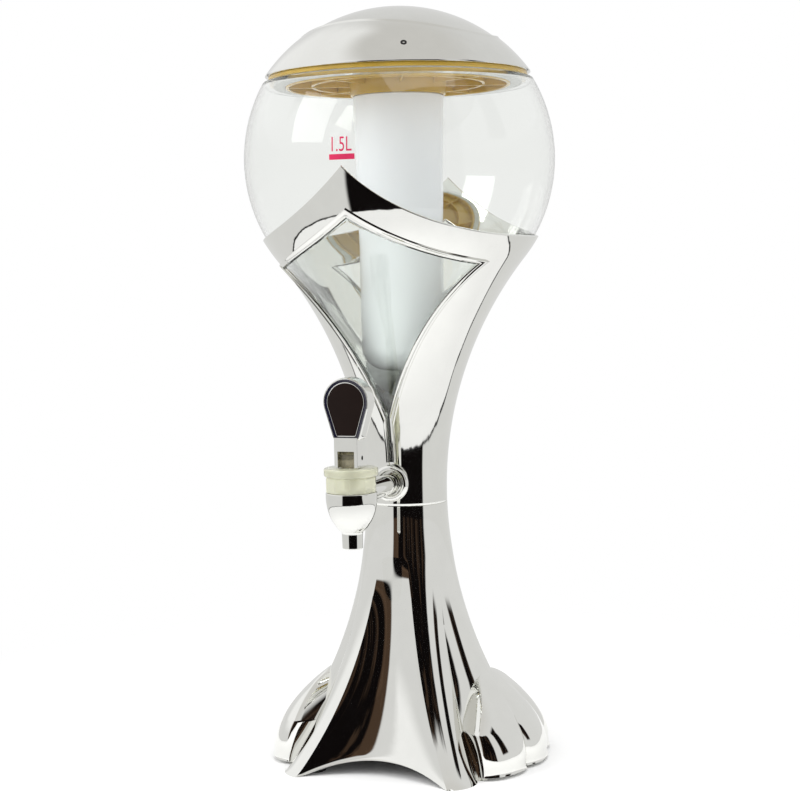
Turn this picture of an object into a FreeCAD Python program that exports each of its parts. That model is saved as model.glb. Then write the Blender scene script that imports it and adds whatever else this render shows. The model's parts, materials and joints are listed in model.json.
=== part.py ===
import FreeCAD, Part
import Sketcher

import math
import os

from FreeCAD import Placement, Rotation, Vector

# Table drink tower with one lever tap: fluted pedestal, waisted shroud with kite windows, clear globe,
# domed lid with an ice tube. Millimetres, +Z up, the tap points to -Y, the origin is on the table
# below the tower's axis.

doc = FreeCAD.newDocument("drink_tower")

SIZES = [
    # the tower's outline: a globe, a waist and the flares that join them
    ("globe_radius", 90.6),
    ("globe_height", 352),
    ("waist_radius", 24),
    ("waist_height", 157),
    ("seam_height", 151),
    ("foot_flare", 238),
    # walls and fits
    ("shroud_wall", 1.8),
    ("shell_gap", 0.3),
    ("container_wall", 2.5),
    ("base_wall", 2.6),
    ("running_gap", 0.05),
    ("seat_gap", 0.15),
    # shroud: swept rim, windows with raised frames, slot down to the tap
    ("rim_peak", 345),
    ("rim_valley", 305.5),
    ("rim_half_width", 80),
    ("rim_sweep", 133),
    ("window_apex", 317.2),
    ("window_corner_out", 50.5),
    ("window_corner_height", 290.6),
    ("window_tip", 205),
    ("window_top_sweep", 200),
    ("window_side_sweep", 183),
    ("slot_width", 2.6),
    ("slot_foot", 177),
    ("frame_apex", 322),
    ("frame_corner_out", 58),
    ("frame_corner_height", 291.5),
    ("frame_tip", 199),
    ("frame_band", 2),
    ("frame_proud", 1.2),
    ("tongue_width", 2),
    ("tongue_drop", 5),
    # pedestal
    ("arch_height", 9),
    ("arch_half_width", 44),
    ("panel_depth", 23),
    ("panel_top", 120),
    ("ridge_angle_low", 33),
    ("ridge_angle_high", 20),
    ("valley_angle_low", 49),
    ("valley_angle_high", 60),
    ("valley_depth", 9),
    ("toe_spread", 38),
    ("middle_toe", 11),
    ("toe_reach", 82.4),
    ("toe_lift", 2),
    ("toe_notch", 3.2),
    ("lobe_top", 52),
    ("lobe_shoulder", 8),
    ("lobe_seat", 0.6),
    ("deck_thickness", 7),
    ("spigot_height", 2),
    ("spigot_wall", 2.4),
    ("plate_height", 10),
    ("plate_thickness", 2.5),
    ("pad_thickness", 2.5),
    ("pad_radius", 24),
    ("dish_radius", 27),
    ("foot_pad_radius", 6),
    ("foot_pad_out", 67),
    ("foot_azimuth", 37),
    ("boss_out", 50),
    ("boss_radius", 4),
    ("screw_radius", 1.5),
    ("screw_head_radius", 3),
    ("screw_head_height", 2),
    ("screw_length", 12),
    # container
    ("lip_height", 397),
    ("lip_thickness", 2.5),
    ("mouth_radius", 66),
    ("container_floor", 156),
    ("neck_rise", 2),
    ("stub_radius", 7),
    ("tie_radius", 2.5),
    ("tie_depth", 9),
    ("tie_head_radius", 4.5),
    ("tie_head_height", 3.5),
    ("tie_washer_radius", 11),
    ("tie_washer_thickness", 1.5),
    # tap
    ("tap_height", 165),
    ("tap_reach", 88),
    ("shank_radius", 6),
    ("thread_radius", 5),
    ("shank_bore", 3.2),
    ("shank_end", 10),
    ("nut_flats", 14),
    ("nut_height", 4),
    ("washer_thickness", 1.5),
    ("washer_radius", 8.5),
    ("boss_face", 17),
    ("flange_radius", 10.8),
    ("flange_back", 25.2),
    ("flange_depth", 4.4),
    ("flange_edge", 1),
    ("flange_dish", 1.5),
    ("outer_washer_radius", 9.5),
    ("washer_root", 4),
    ("spout_tip", 137),
    ("spout_tip_radius", 5.2),
    ("spout_top", 148),
    ("spout_top_radius", 6.3),
    ("cup_sweep", 33),
    ("cup_radius", 14.1),
    ("cup_shoulder", 166),
    ("cup_top", 168.2),
    ("chamber_radius", 10.6),
    ("chamber_foot", 160),
    ("seat_height", 152.5),
    ("seat_radius", 7),
    ("outlet_radius", 3.6),
    ("collar_radius", 14.1),
    ("collar_sides", 10),
    ("collar_band_top", 176.7),
    ("collar_flange_radius", 14.9),
    ("collar_top", 181.6),
    ("collar_recess_radius", 8.4),
    ("collar_recess_top", 170.5),
    ("stem_radius", 3.2),
    ("plunger_shoulder_radius", 7.6),
    ("plunger_shoulder_top", 158.2),
    ("shoulder_taper", 1.2),
    ("seal_radius", 6.2),
    ("seal_thickness", 3.2),
    ("seal_edge", 0.8),
    ("spring_radius", 5.6),
    ("spring_wire", 0.7),
    ("spring_turns", 5),
    ("pin_height", 187),
    ("pin_radius", 1.25),
    ("head_width", 9.1),
    ("head_radius", 3.8),
    ("fork_width", 13.5),
    ("fork_depth", 14),
    ("fork_slot", 9.5),
    ("fork_slot_top", 191),
    ("fork_foot", 182),
    ("fork_top", 199),
    ("paddle_radius", 13.25),
    ("paddle_centre", 217.8),
    ("paddle_foot", 196.6),
    ("paddle_foot_width", 15),
    ("paddle_depth", 12),
    ("paddle_round", 2),
    ("label_inset", 2.3),
    ("label_thickness", 1.1),
    # lid
    ("lid_apex", 440),
    ("lid_centre", 346),
    ("lid_step", 0.9),
    ("lid_wall", 1.6),
    ("lid_rim", 400.6),
    ("lid_rim_edge", 0.6),
    ("lid_rim_rise", 0.8),
    ("step_long", 60),
    ("step_short", 48),
    ("step_turn", -12),
    ("vent_azimuth", 23),
    ("vent_out", 68),
    ("vent_radius", 1.8),
    ("vent_bore", 0.7),
    ("vent_proud", 1.1),
    ("gasket_thickness", 1.4),
    ("gasket_width", 6.5),
    ("liner_radius", 75.3),
    ("liner_plug_depth", 4.4),
    ("liner_plug_gap", 0.5),
    ("liner_wall", 2),
    ("ring_radius", 50.8),
    ("ring_depth", 3.6),
    ("tube_boss_radius", 27.8),
    ("tube_boss_foot", 389),
    ("tube_neck_radius", 25.5),
    ("tube_top_radius", 26.4),
    ("tube_low_radius", 24.5),
    ("tube_low_height", 300),
    ("tube_foot", 230),
    ("tube_foot_round", 14),
    ("tube_wall", 2),
    ("tube_neck_wall", 3.2),
    ("tube_neck_drop", 6),
    ("oring_wire", 1.5),
    ("oring_height", 394),
    ("rib_count", 8),
    ("rib_thickness", 1.6),
    ("rib_depth", 4),
]

sheet = doc.addObject("Spreadsheet::Sheet", "Sizes")
for row, (alias, number) in enumerate(SIZES, start=1):
    sheet.set("A%d" % row, alias)
    sheet.set("B%d" % row, str(number))
    sheet.setAlias("B%d" % row, alias)
worked = doc.addObject("App::VarSet", "Worked")
doc.recompute()


class Size:
    """A number kept with the formula that ties it to the sheet, so that sums of sizes stay bound."""

    def __init__(self, number, formula):
        self.number = float(number)
        self.formula = formula

    def join(self, other, sign, result, swapped=False):
        text = other.formula if isinstance(other, Size) else "%.6g" % other
        left, right = (text, self.formula) if swapped else (self.formula, text)
        return Size(result, "(%s %s %s)" % (left, sign, right))

    def __add__(self, other):
        return self.join(other, "+", self.number + float(other))

    def __radd__(self, other):
        return self.join(other, "+", float(other) + self.number, True)

    def __sub__(self, other):
        return self.join(other, "-", self.number - float(other))

    def __rsub__(self, other):
        return self.join(other, "-", float(other) - self.number, True)

    def __mul__(self, other):
        return self.join(other, "*", self.number * float(other))

    def __rmul__(self, other):
        return self.join(other, "*", float(other) * self.number, True)

    def __truediv__(self, other):
        return self.join(other, "/", self.number / float(other))

    def __neg__(self):
        return Size(-self.number, "(0 - %s)" % self.formula)

    def __float__(self):
        return self.number

    def root(self):
        return Size(math.sqrt(self.number), "sqrt(%s)" % self.formula)


def size(alias):
    return Size(sheet.get(alias), "Sizes.%s" % alias)


def work_out(name, value):
    """Keep a worked-out size under its own name, bound to the sheet."""
    worked.addProperty("App::PropertyFloat", name, "Worked", "")
    worked.setExpression(name, value.formula)
    return Size(value.number, "Worked.%s" % name)


def bind(thing, name, value):
    """Set a property from a size, or a plain number where nothing drives it."""
    if isinstance(value, Size):
        thing.setExpression(name, value.formula)
    else:
        setattr(thing, name, value)


def place(thing, x=0, y=0, z=0, turn=None):
    """Put an object at x, y, z, each a size or a number, after an optional turn."""
    base = Vector(float(x), float(y), float(z))
    thing.Placement = Placement(base, turn or Rotation())
    for axis, value in (("x", x), ("y", y), ("z", z)):
        if isinstance(value, Size):
            thing.setExpression(".Placement.Base.%s" % axis, value.formula)
    return thing


def start_plane(body, role):
    return [plane for plane in body.Origin.OriginFeatures if plane.Role == role][0]


def arc_centre(a, b, radius, side):
    """Centre of the arc from a to b, on the left of the way there for side 1, on the right for -1."""
    half = (b - a) * 0.5
    rise = math.sqrt(max(radius * radius - half.Length * half.Length, 0))
    across = Vector(-half.y, half.x, 0).normalize()
    return a + half + across * (rise * side)


def draw(sketch, corners):
    """Closed outline through corners (u, v), or (u, v, radius, side) where an arc arrives there."""
    points = [Vector(float(c[0]), float(c[1]), 0) for c in corners]
    count = len(corners)
    ends = []
    for i in range(count):
        a = points[i]
        b = points[(i + 1) % count]
        arrival = corners[(i + 1) % count][2:]
        if not arrival:
            sketch.addGeometry(Part.LineSegment(a, b), False)
            ends.append((1, 2))
            continue
        radius, side = arrival
        centre = arc_centre(a, b, float(radius), side)
        first, last = (a, b) if side > 0 else (b, a)
        low = math.atan2(first.y - centre.y, first.x - centre.x)
        high = math.atan2(last.y - centre.y, last.x - centre.x)
        circle = Part.Circle(centre, Vector(0, 0, 1), float(radius))
        sketch.addGeometry(Part.ArcOfCircle(circle, low, high), False)
        ends.append((1, 2) if side > 0 else (2, 1))
    for i in range(count):
        after = (i + 1) % count
        sketch.addConstraint(Sketcher.Constraint("Coincident", i, ends[i][1], after, ends[after][0]))
    for i, corner in enumerate(corners):
        for kind, axis, value in (("DistanceX", -2, corner[0]), ("DistanceY", -1, corner[1])):
            if not isinstance(value, Size) and value == 0:
                sketch.addConstraint(Sketcher.Constraint("PointOnObject", i, ends[i][0], axis))
                continue
            number = float(value)
            made = sketch.addConstraint(Sketcher.Constraint(kind, -1, 1, i, ends[i][0], number))
            if isinstance(value, Size):
                sketch.setExpression("Constraints[%d]" % made, value.formula)
    for i in range(count):
        arrival = corners[(i + 1) % count][2:]
        if arrival:
            made = sketch.addConstraint(Sketcher.Constraint("Radius", i, float(arrival[0])))
            if isinstance(arrival[0], Size):
                sketch.setExpression("Constraints[%d]" % made, arrival[0].formula)


def outline(body, name, role, corners):
    """A sketch of the closed outline on one of the body's own planes."""
    sketch = body.newObject("Sketcher::SketchObject", name)
    sketch.AttachmentSupport = [(start_plane(body, role), "")]
    sketch.MapMode = "FlatFace"
    draw(sketch, corners)
    return sketch


def turned(name, corners):
    """A body made by turning a closed (radius, height) outline about Z."""
    body = doc.addObject("PartDesign::Body", name)
    sketch = outline(body, name + "_profile", "XZ_Plane", corners)
    turn = body.newObject("PartDesign::Revolution", name + "_turn")
    turn.Profile = sketch
    turn.ReferenceAxis = (sketch, ["V_Axis"])
    turn.Angle = 360
    return body


def padded(name, role, corners, depth):
    """A body made by padding a closed outline evenly to both sides of its plane."""
    body = doc.addObject("PartDesign::Body", name)
    sketch = outline(body, name + "_outline", role, corners)
    pad = body.newObject("PartDesign::Pad", name + "_pad")
    pad.Profile = sketch
    pad.Midplane = True
    bind(pad, "Length", depth)
    return body


def cylinder(name, radius, low, high, x=0, y=0):
    """An upright cylinder from one height to another."""
    thing = doc.addObject("Part::Cylinder", name)
    bind(thing, "Radius", radius)
    bind(thing, "Height", high - low)
    return place(thing, x, y, low)


def rod(name, radius, near, far, height, across=0):
    """A cylinder along Y at a height, from near to far in front of the tower's axis."""
    thing = doc.addObject("Part::Cylinder", name)
    bind(thing, "Radius", radius)
    bind(thing, "Height", far - near)
    return place(thing, across, -near, height, TO_FRONT)


def joined(name, *things):
    thing = doc.addObject("Part::MultiFuse", name)
    thing.Shapes = list(things)
    return thing


def cut(name, base, *tools):
    """The base without its tools, one after another."""
    result = base
    for index, tool in enumerate(tools):
        step = doc.addObject("Part::Cut", name if index == len(tools) - 1 else "%s_cut_%d" % (name, index + 1))
        step.Base = result
        step.Tool = tool
        result = step
    return result


def common(name, base, tool):
    thing = doc.addObject("Part::Common", name)
    thing.Base = base
    thing.Tool = tool
    return thing


TO_FRONT = Rotation(Vector(1, 0, 0), 90)
BEYOND = 10
pieces = {}


def piece(node, thing):
    """Name a finished sub-part; its label names its file."""
    thing.Label = node
    pieces[node] = thing
    return thing


# The tower's outline. The shroud's outer skin is a sphere round the globe and a hollow flare that
# leaves the waist upright and meets the sphere in a tangent. Every inner skin keeps the same centres.
waist = size("waist_radius")
waist_height = size("waist_height")
globe_height = size("globe_height")
seam = size("seam_height")
shroud_wall = size("shroud_wall")
shell_gap = size("shell_gap")
container_wall = size("container_wall")
seat_gap = size("seat_gap")
running_gap = size("running_gap")

skin_radius = work_out("skin_radius", size("globe_radius") + shell_gap + shroud_wall)
rise = work_out("globe_rise", globe_height - waist_height)
flare = work_out("flare", (waist * waist + rise * rise - skin_radius * skin_radius) / (2 * (skin_radius - waist)))
flare_out = work_out("flare_out", waist + flare)
reach = work_out("flare_reach", skin_radius + flare)


def skin(depth):
    """Waist radius, globe radius, flare radius and the point where flare and globe meet, at a depth."""
    ball = skin_radius - depth
    return waist - depth, ball, flare + depth, flare_out * ball / reach, globe_height - rise * ball / reach


def globe_out(ball, height):
    """How far out the globe's skin is at a height."""
    above = height - globe_height
    return (ball * ball - above * above).root()


def skin_solid(name, depth, foot):
    """The filled tower inside a skin at a depth, up to the globe's middle."""
    neck, ball, bend, meet_out, meet_height = skin(depth)
    return turned(name, [
        (0, foot),
        (neck, foot),
        (neck, waist_height),
        (meet_out, meet_height, bend, -1),
        (ball, globe_height, ball, 1),
        (0, globe_height),
    ])


def skin_shell(name, outer, inner, foot):
    """The wall between two skins, from a foot height up to the globe's middle."""
    neck, ball, bend, meet_out, meet_height = skin(outer)
    neck_in, ball_in, bend_in, meet_in, meet_in_height = skin(inner)
    return turned(name, [
        (neck_in, foot),
        (neck, foot),
        (neck, waist_height),
        (meet_out, meet_height, bend, -1),
        (ball, globe_height, ball, 1),
        (ball_in, globe_height),
        (meet_in, meet_in_height, ball_in, -1),
        (neck_in, waist_height, bend_in, 1),
    ])


def kite(name, half_corner, corner_height, apex, tip, half_slot, foot):
    """A window's form, front to back: swept top edges, hollow sides and a narrow slot below."""
    top = size("window_top_sweep")
    side = size("window_side_sweep")
    return padded(name, "XZ_Plane", [
        (0, apex, top, -1),
        (-half_corner, corner_height, top, -1),
        (-half_slot, tip, side, -1),
        (-half_slot, foot),
        (half_slot, foot),
        (half_slot, tip),
        (half_corner, corner_height, side, -1),
    ], 4 * skin_radius)


# Shroud: the skin below the swept rim, open at both windows, with a raised frame round each.
peak = size("rim_peak")
valley = size("rim_valley")
rim_out = size("rim_half_width")
rim_sweep = size("rim_sweep")
across_all = 4 * skin_radius
rim_cutter = padded("rim_cutter", "XZ_Plane", [
    (0, peak, rim_sweep, 1),
    (rim_out, valley, rim_sweep, 1),
    (rim_out * 2, valley),
    (rim_out * 2, peak + rim_out),
    (-(rim_out * 2), peak + rim_out),
    (-(rim_out * 2), valley),
    (-rim_out, valley),
], across_all)

slot_half = size("slot_width") / 2
slot_foot = size("slot_foot")
tap_height = size("tap_height")
window_form = kite(
    "window_form", size("window_corner_out"), size("window_corner_height"), size("window_apex"),
    size("window_tip"), slot_half, slot_foot)
frame_form = kite(
    "frame_form", size("frame_corner_out"), size("frame_corner_height"), size("frame_apex"),
    size("frame_tip"), slot_half + size("frame_band"), slot_foot)
pane_gap = size("seat_gap")
pane_form = kite(
    "pane_form", size("window_corner_out") - 2 * pane_gap, size("window_corner_height"),
    size("window_apex") - 1.5 * pane_gap, size("window_tip"), slot_half - pane_gap, slot_foot + pane_gap)

tap_reach = size("tap_reach")
thread = size("thread_radius")
skin_wall = skin_shell("skin_wall", 0, shroud_wall, seam)
tap_hole = rod("tap_hole", thread + seat_gap, 0, tap_reach / 2, tap_height)
below_rim = cut("below_rim", skin_wall, rim_cutter, window_form, tap_hole)
frame_proud = size("frame_proud")
frame_wall = skin_shell("frame_wall", -frame_proud, shroud_wall, seam)
frame_ring = cut("frame_ring", frame_form, window_form)
frames = common("frames", frame_wall, frame_ring)
tongue_width = size("tongue_width")
tongue_drop = size("tongue_drop")
tongue = doc.addObject("Part::Box", "tongue")
bind(tongue, "Length", tongue_width)
bind(tongue, "Width", shroud_wall)
bind(tongue, "Height", tongue_drop + 1)
place(tongue, -tongue_width / 2, -waist, seam - tongue_drop)
piece("shroud", joined("shroud_joined", below_rim, frames, tongue))

# Container: the clear globe, its funnel and neck inside the shroud, and panes that fill the windows.
outer_depth = work_out("container_depth", shroud_wall + shell_gap)
inner_depth = work_out("drink_depth", outer_depth + container_wall)
lip = size("lip_height")
mouth = size("mouth_radius")
floor = size("container_floor")
neck_foot = seam + size("spigot_height") + 2 * seat_gap + 1
stub = size("stub_radius")
deck_low = work_out("deck_low", seam - size("deck_thickness"))
spigot_out = work_out("spigot_out", waist - shroud_wall - seat_gap)
spigot_in = work_out("spigot_in", spigot_out - size("spigot_wall"))
neck, ball, bend, meet_out, meet_height = skin(outer_depth)
neck_in, ball_in, bend_in, meet_in, meet_in_height = skin(inner_depth)
lip_under = lip - size("lip_thickness")
container_turn = turned("container_turn", [
    (0, deck_low),
    (stub, deck_low),
    (stub, seam),
    (spigot_in - 2 * seat_gap, seam),
    (spigot_in - 2 * seat_gap, neck_foot),
    (neck, neck_foot + 1),
    (neck, waist_height + size("neck_rise")),
    (meet_out, meet_height, bend, -1),
    (globe_out(ball, lip), lip, ball, 1),
    (mouth, lip),
    (mouth, lip_under),
    (globe_out(ball_in, lip_under), lip_under),
    (meet_in, meet_in_height, ball_in, -1),
    (neck_in, waist_height + size("neck_rise"), bend_in, 1),
    (neck_in, floor),
    (0, floor),
])
pane_wall = skin_shell("pane_wall", shell_gap, outer_depth + container_wall / 2, seam)
panes = common("panes", pane_wall, pane_form)
boss_face = size("boss_face")
shank_boss = rod("shank_boss", size("washer_radius") + 1, boss_face, neck - container_wall / 2, tap_height)
shank_hole = rod("shank_hole", thread + running_gap * 2, 0, tap_reach / 2, tap_height)
tie = size("tie_radius")
tie_depth = size("tie_depth")
tie_hole = cylinder("tie_hole", tie + running_gap, deck_low - 1, deck_low + tie_depth + 1)
container_solid = joined("container_solid", container_turn, panes, shank_boss)
piece("container", cut("container_cut", container_solid, shank_hole, tie_hole))

# Pedestal: sections of eight arcs, lofted. Front and back panels are hollow between two foot ridges,
# each foot ends in a shallow valley, and a three-toed lobe bulges from each side.
base_wall = size("base_wall")
fade_power = 1.5
lobe_power = 1.8
lobe_fall = 27
toe_fade = 45
NARROWEST_LOBE = 10
section_heights = (0, 14, 30, 48, 66, 84, 100, 120, 136)


def value(alias):
    return float(size(alias))


def trumpet(height, inset):
    """Radius of the pedestal's main flare at a height."""
    bend_radius = value("foot_flare")
    drop = value("waist_height") - height
    return value("waist_radius") + bend_radius - math.sqrt((bend_radius + inset) ** 2 - drop * drop)


def fade(height, top):
    """1 at the table, 0 from a height upwards."""
    return max(0.0, 1 - height / top) ** fade_power


def polar(radius, azimuth, height):
    """A point at an azimuth from the tap's side, turning towards +X."""
    angle = math.radians(azimuth)
    return Vector(radius * math.sin(angle), -radius * math.cos(angle), height)


def pedestal_section(height, inset):
    """One closed section: panel, foot, side and foot, the same again behind."""
    wide = trumpet(height, inset)
    upper = min(height / value("panel_top"), 1)
    ridge = value("ridge_angle_low") + (value("ridge_angle_high") - value("ridge_angle_low")) * upper
    dip = value("valley_angle_low") + (value("valley_angle_high") - value("valley_angle_low")) * upper
    panel = wide - value("panel_depth") * fade(height, value("panel_top"))
    hollow = wide - value("valley_depth") * fade(height, value("panel_top"))
    side = wide - value("valley_depth") * fade(height, value("lobe_top"))
    around = [(0, panel), (ridge, wide), ((ridge + dip) / 2, wide), (dip, hollow), (90, side)]
    quarter = around[1:4]
    round_trip = around[:1] + quarter + [(90, side)]
    round_trip += [(180 - azimuth, radius) for azimuth, radius in reversed(quarter)]
    round_trip += [(180, panel)]
    round_trip += [(180 + azimuth, radius) for azimuth, radius in quarter]
    round_trip += [(270, side)]
    round_trip += [(360 - azimuth, radius) for azimuth, radius in reversed(quarter)]
    points = [polar(radius, azimuth, height) for azimuth, radius in round_trip]
    arcs = []
    for start in range(-1, len(points) - 1, 2):
        arcs.append(Part.Arc(points[start], points[start + 1], points[(start + 2) % len(points)]).toShape())
    return Part.Wire(arcs)


def pedestal_solid(inset, low, high):
    """The lofted pedestal at an inset, cut to a stretch of height."""
    heights = [height for height in section_heights if low < height < high]
    wires = [pedestal_section(height, inset) for height in [low] + heights + [high]]
    return Part.makeLoft(wires, True, False)


def lobe_section(height, inset, mirror):
    """One lobe's section: three toes outside, closed well inside the pedestal's wall."""
    top = value("lobe_top") - inset
    low = value("lobe_shoulder")
    root = trumpet(value("lobe_top"), 0) - value("lobe_seat")
    share = min(max((height - low) / (top - low), 0), 1)
    out = root + (value("toe_reach") - root) * (1 - share ** lobe_power) - inset
    spread = value("toe_spread") * min(1, max((top - height) / lobe_fall, 0) ** (1 / 3))
    spread = max(spread - math.degrees(inset / out), NARROWEST_LOBE - inset)
    notch = value("toe_notch") * max(0, 1 - height / toe_fade)
    middle = spread * value("middle_toe") / value("toe_spread")
    turns = (-spread, -(spread + middle) / 2, -middle, 0, middle, (spread + middle) / 2, spread)
    back = trumpet(height, inset) - 4 * value("base_wall")
    front = [polar(out - (0 if index % 2 else notch), 90 + turn, height) for index, turn in enumerate(turns)]
    rear = [polar(back, 90 + spread, height), polar(back, 90, height), polar(back, 90 - spread, height)]
    if mirror:
        front = [Vector(-p.x, p.y, p.z) for p in front]
        rear = [Vector(-p.x, p.y, p.z) for p in rear]
    edges = [Part.Arc(*front[index:index + 3]).toShape() for index in (0, 2, 4)]
    edges.append(Part.LineSegment(front[-1], rear[0]).toShape())
    edges.append(Part.Arc(*rear).toShape())
    edges.append(Part.LineSegment(rear[-1], front[0]).toShape())
    return Part.Wire(edges)


def lobe_solid(inset, low, mirror):
    top = value("lobe_top") - inset
    steps = (low, value("lobe_shoulder"), 18, 28, 38, 46, top)
    wires = [lobe_section(height, inset, mirror) for height in steps if low <= height <= top]
    return Part.makeLoft(wires, True, False)


def pedestal_form(inset, low, high, lobe_low):
    """The pedestal with both lobes, at an inset from the outside."""
    solid = pedestal_solid(inset, low, high)
    for mirror in (False, True):
        solid = solid.fuse(lobe_solid(inset, lobe_low, mirror))
    return solid


outside = doc.addObject("Part::Feature", "pedestal_outside")
outside.Shape = pedestal_form(0, 0, value("seam_height"), value("toe_lift"))
inside = doc.addObject("Part::Feature", "pedestal_inside")
inside.Shape = pedestal_form(value("base_wall"), 0, float(deck_low), 0)

arch = size("arch_height")
arch_half = size("arch_half_width")
arch_radius = work_out("arch_radius", (arch_half * arch_half + arch * arch) / (2 * arch))
arch_cutter = doc.addObject("Part::Cylinder", "arch_cutter")
bind(arch_cutter, "Radius", arch_radius)
bind(arch_cutter, "Height", across_all)
place(arch_cutter, 0, across_all / 2, arch - arch_radius, TO_FRONT)

foot_azimuth = value("foot_azimuth")
foot_azimuths = (foot_azimuth, 180 - foot_azimuth, 180 + foot_azimuth, -foot_azimuth)
plate_low = size("plate_height")
plate_high = work_out("plate_top", plate_low + size("plate_thickness"))
screw = size("screw_radius")
screw_length = size("screw_length")


def around_feet(name, make, out):
    """Copies of one upright piece, one at each foot's azimuth."""
    made = []
    for index, azimuth in enumerate(foot_azimuths):
        angle = math.radians(azimuth)
        thing = make("%s_%d" % (name, index + 1))
        thing.setExpression(".Placement.Base.x", "%s * %.9f" % (out.formula, math.sin(angle)))
        thing.setExpression(".Placement.Base.y", "%s * %.9f" % (out.formula, -math.cos(angle)))
        made.append(thing)
    return made


boss_out = size("boss_out")
boss_radius = size("boss_radius")
boss_top = plate_high + screw_length * 4
bosses = around_feet("screw_boss", lambda n: cylinder(n, boss_radius, plate_high, boss_top), boss_out)
pilots = around_feet(
    "pilot", lambda n: cylinder(n, screw + running_gap, plate_low, plate_high + screw_length + 1), boss_out)
bosses_within = common("bosses_within", joined("bosses_all", *bosses), outside)
deck_hole = cylinder("deck_hole", stub + seat_gap * 2, deck_low - 1, seam + 1)
spigot = turned("spigot", [
    (spigot_in, seam - 1),
    (spigot_out, seam - 1),
    (spigot_out, seam + size("spigot_height")),
    (spigot_in, seam + size("spigot_height")),
])
notch = doc.addObject("Part::Box", "tongue_notch")
bind(notch, "Length", tongue_width + 2 * seat_gap)
bind(notch, "Width", shroud_wall + BEYOND)
bind(notch, "Height", tongue_drop + seat_gap)
place(notch, -tongue_width / 2 - seat_gap, -waist - BEYOND + seat_gap, seam - tongue_drop - seat_gap)
hollow_base = cut("hollow_base", outside, inside, arch_cutter, notch)
base_joined = joined("base_joined", hollow_base, bosses_within, spigot)
piece("base_shell", cut("base_cut", base_joined, deck_hole, joined("pilots", *pilots)))

# Bottom plate with its centre dish and four stubs, each with a pad below, and its four screws.
pad_high = size("pad_thickness")
dish = size("dish_radius")
plate_thickness = size("plate_thickness")
plate_form = doc.addObject("Part::Feature", "plate_form")
plate_form.Shape = pedestal_form(value("base_wall") + value("shell_gap"), 0, value("lobe_top"), 0)
plate_slab = cylinder("plate_slab", across_all / 2, plate_low, plate_high)
plate_disc = common("plate_disc", plate_form, plate_slab)
dish_turn = turned("dish_turn", [
    (0, pad_high),
    (dish, pad_high),
    (dish, plate_high),
    (dish - plate_thickness, plate_high),
    (dish - plate_thickness, pad_high + plate_thickness),
    (0, pad_high + plate_thickness),
])
dish_bore = cylinder("dish_bore", dish - plate_thickness, pad_high + plate_thickness, plate_high + 1)
foot_pad = size("foot_pad_radius")
foot_out = size("foot_pad_out")
stubs = around_feet("foot_stub", lambda n: cylinder(n, foot_pad, pad_high, plate_low), foot_out)
plate_holes = around_feet(
    "plate_hole", lambda n: cylinder(n, screw + seat_gap, plate_low - 1, plate_high + 1), boss_out)
plate_open = cut("plate_open", plate_disc, dish_bore, joined("plate_holes", *plate_holes))
piece("bottom_plate", joined("plate_joined", plate_open, dish_turn, *stubs))
pads = around_feet("pad", lambda n: cylinder(n, foot_pad, Size(0, "0"), pad_high), foot_out)
piece("rubber_feet", joined("feet_joined", *pads))
piece("centre_pad", turned("centre_pad_turn", [
    (0, 0),
    (size("pad_radius"), 0),
    (size("pad_radius"), pad_high),
    (0, pad_high),
]))
head = size("screw_head_radius")
head_height = size("screw_head_height")


def plate_screw(name):
    return turned(name, [
        (0, plate_low - head_height),
        (head, plate_low - head_height),
        (head, plate_low),
        (screw, plate_low),
        (screw, plate_high + screw_length),
        (0, plate_high + screw_length),
    ])


piece("plate_screws", joined("screws_joined", *around_feet("plate_screw", plate_screw, boss_out)))

# The tie screw and its washer pull the container down on the deck from inside the pedestal.
washer_low = deck_low - size("tie_washer_thickness")
tie_head = size("tie_head_radius")
piece("tie_washer", turned("tie_washer_turn", [
    (tie + seat_gap, washer_low),
    (size("tie_washer_radius"), washer_low),
    (size("tie_washer_radius"), deck_low),
    (tie + seat_gap, deck_low),
]))
piece("tie_screw", turned("tie_screw_turn", [
    (0, washer_low - size("tie_head_height")),
    (tie_head, washer_low - size("tie_head_height")),
    (tie_head, washer_low),
    (tie, washer_low),
    (tie, deck_low + tie_depth),
    (0, deck_low + tie_depth),
]))

# Tap. The cup stands in front of the waist, and its shank runs back through flange, washers, shroud
# and container to a nut.
shank = size("shank_radius")
flange_back = size("flange_back")
flange_depth = size("flange_depth")
flange_radius = size("flange_radius")
shoulder = work_out("shank_shoulder", flange_back + flange_depth / 2)
shank_end = size("shank_end")
cup = size("cup_radius")
cup_top = size("cup_top")
chamber = size("chamber_radius")
seat_height = size("seat_height")
seat_radius = size("seat_radius")
outlet = size("outlet_radius")
cup_turn = turned("cup_turn", [
    (0, size("spout_tip")),
    (size("spout_tip_radius"), size("spout_tip")),
    (size("spout_top_radius"), size("spout_top")),
    (cup, size("cup_shoulder"), size("cup_sweep"), 1),
    (cup, cup_top),
    (0, cup_top),
])
chamber_turn = turned("chamber_turn", [
    (0, size("spout_tip") - 1),
    (outlet, size("spout_tip") - 1),
    (outlet, seat_height),
    (seat_radius, seat_height),
    (chamber, size("chamber_foot")),
    (chamber, cup_top + 1),
    (0, cup_top + 1),
])
for thing in (cup_turn, chamber_turn):
    place(thing, 0, -tap_reach)
collar_room = cylinder("collar_room", size("collar_radius") + seat_gap, cup_top, cup_top + shank, 0, -tap_reach)
shank_rod = rod("shank_rod", shank, shoulder, tap_reach - chamber, tap_height)
thread_rod = rod("thread_rod", thread, shank_end, shoulder, tap_height)
shank_bore = rod("shank_bore_rod", size("shank_bore"), shank_end - 1, tap_reach - seat_radius, tap_height)
tap_solid = joined("tap_solid", cup_turn, shank_rod, thread_rod)
piece("tap_body", cut("tap_cut", tap_solid, chamber_turn, shank_bore, collar_room))


def facing(name, corners):
    """A turned piece whose axis is the shank's; its heights run from the tower's axis to the front."""
    return place(turned(name, corners), 0, 0, tap_height, TO_FRONT)


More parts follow.
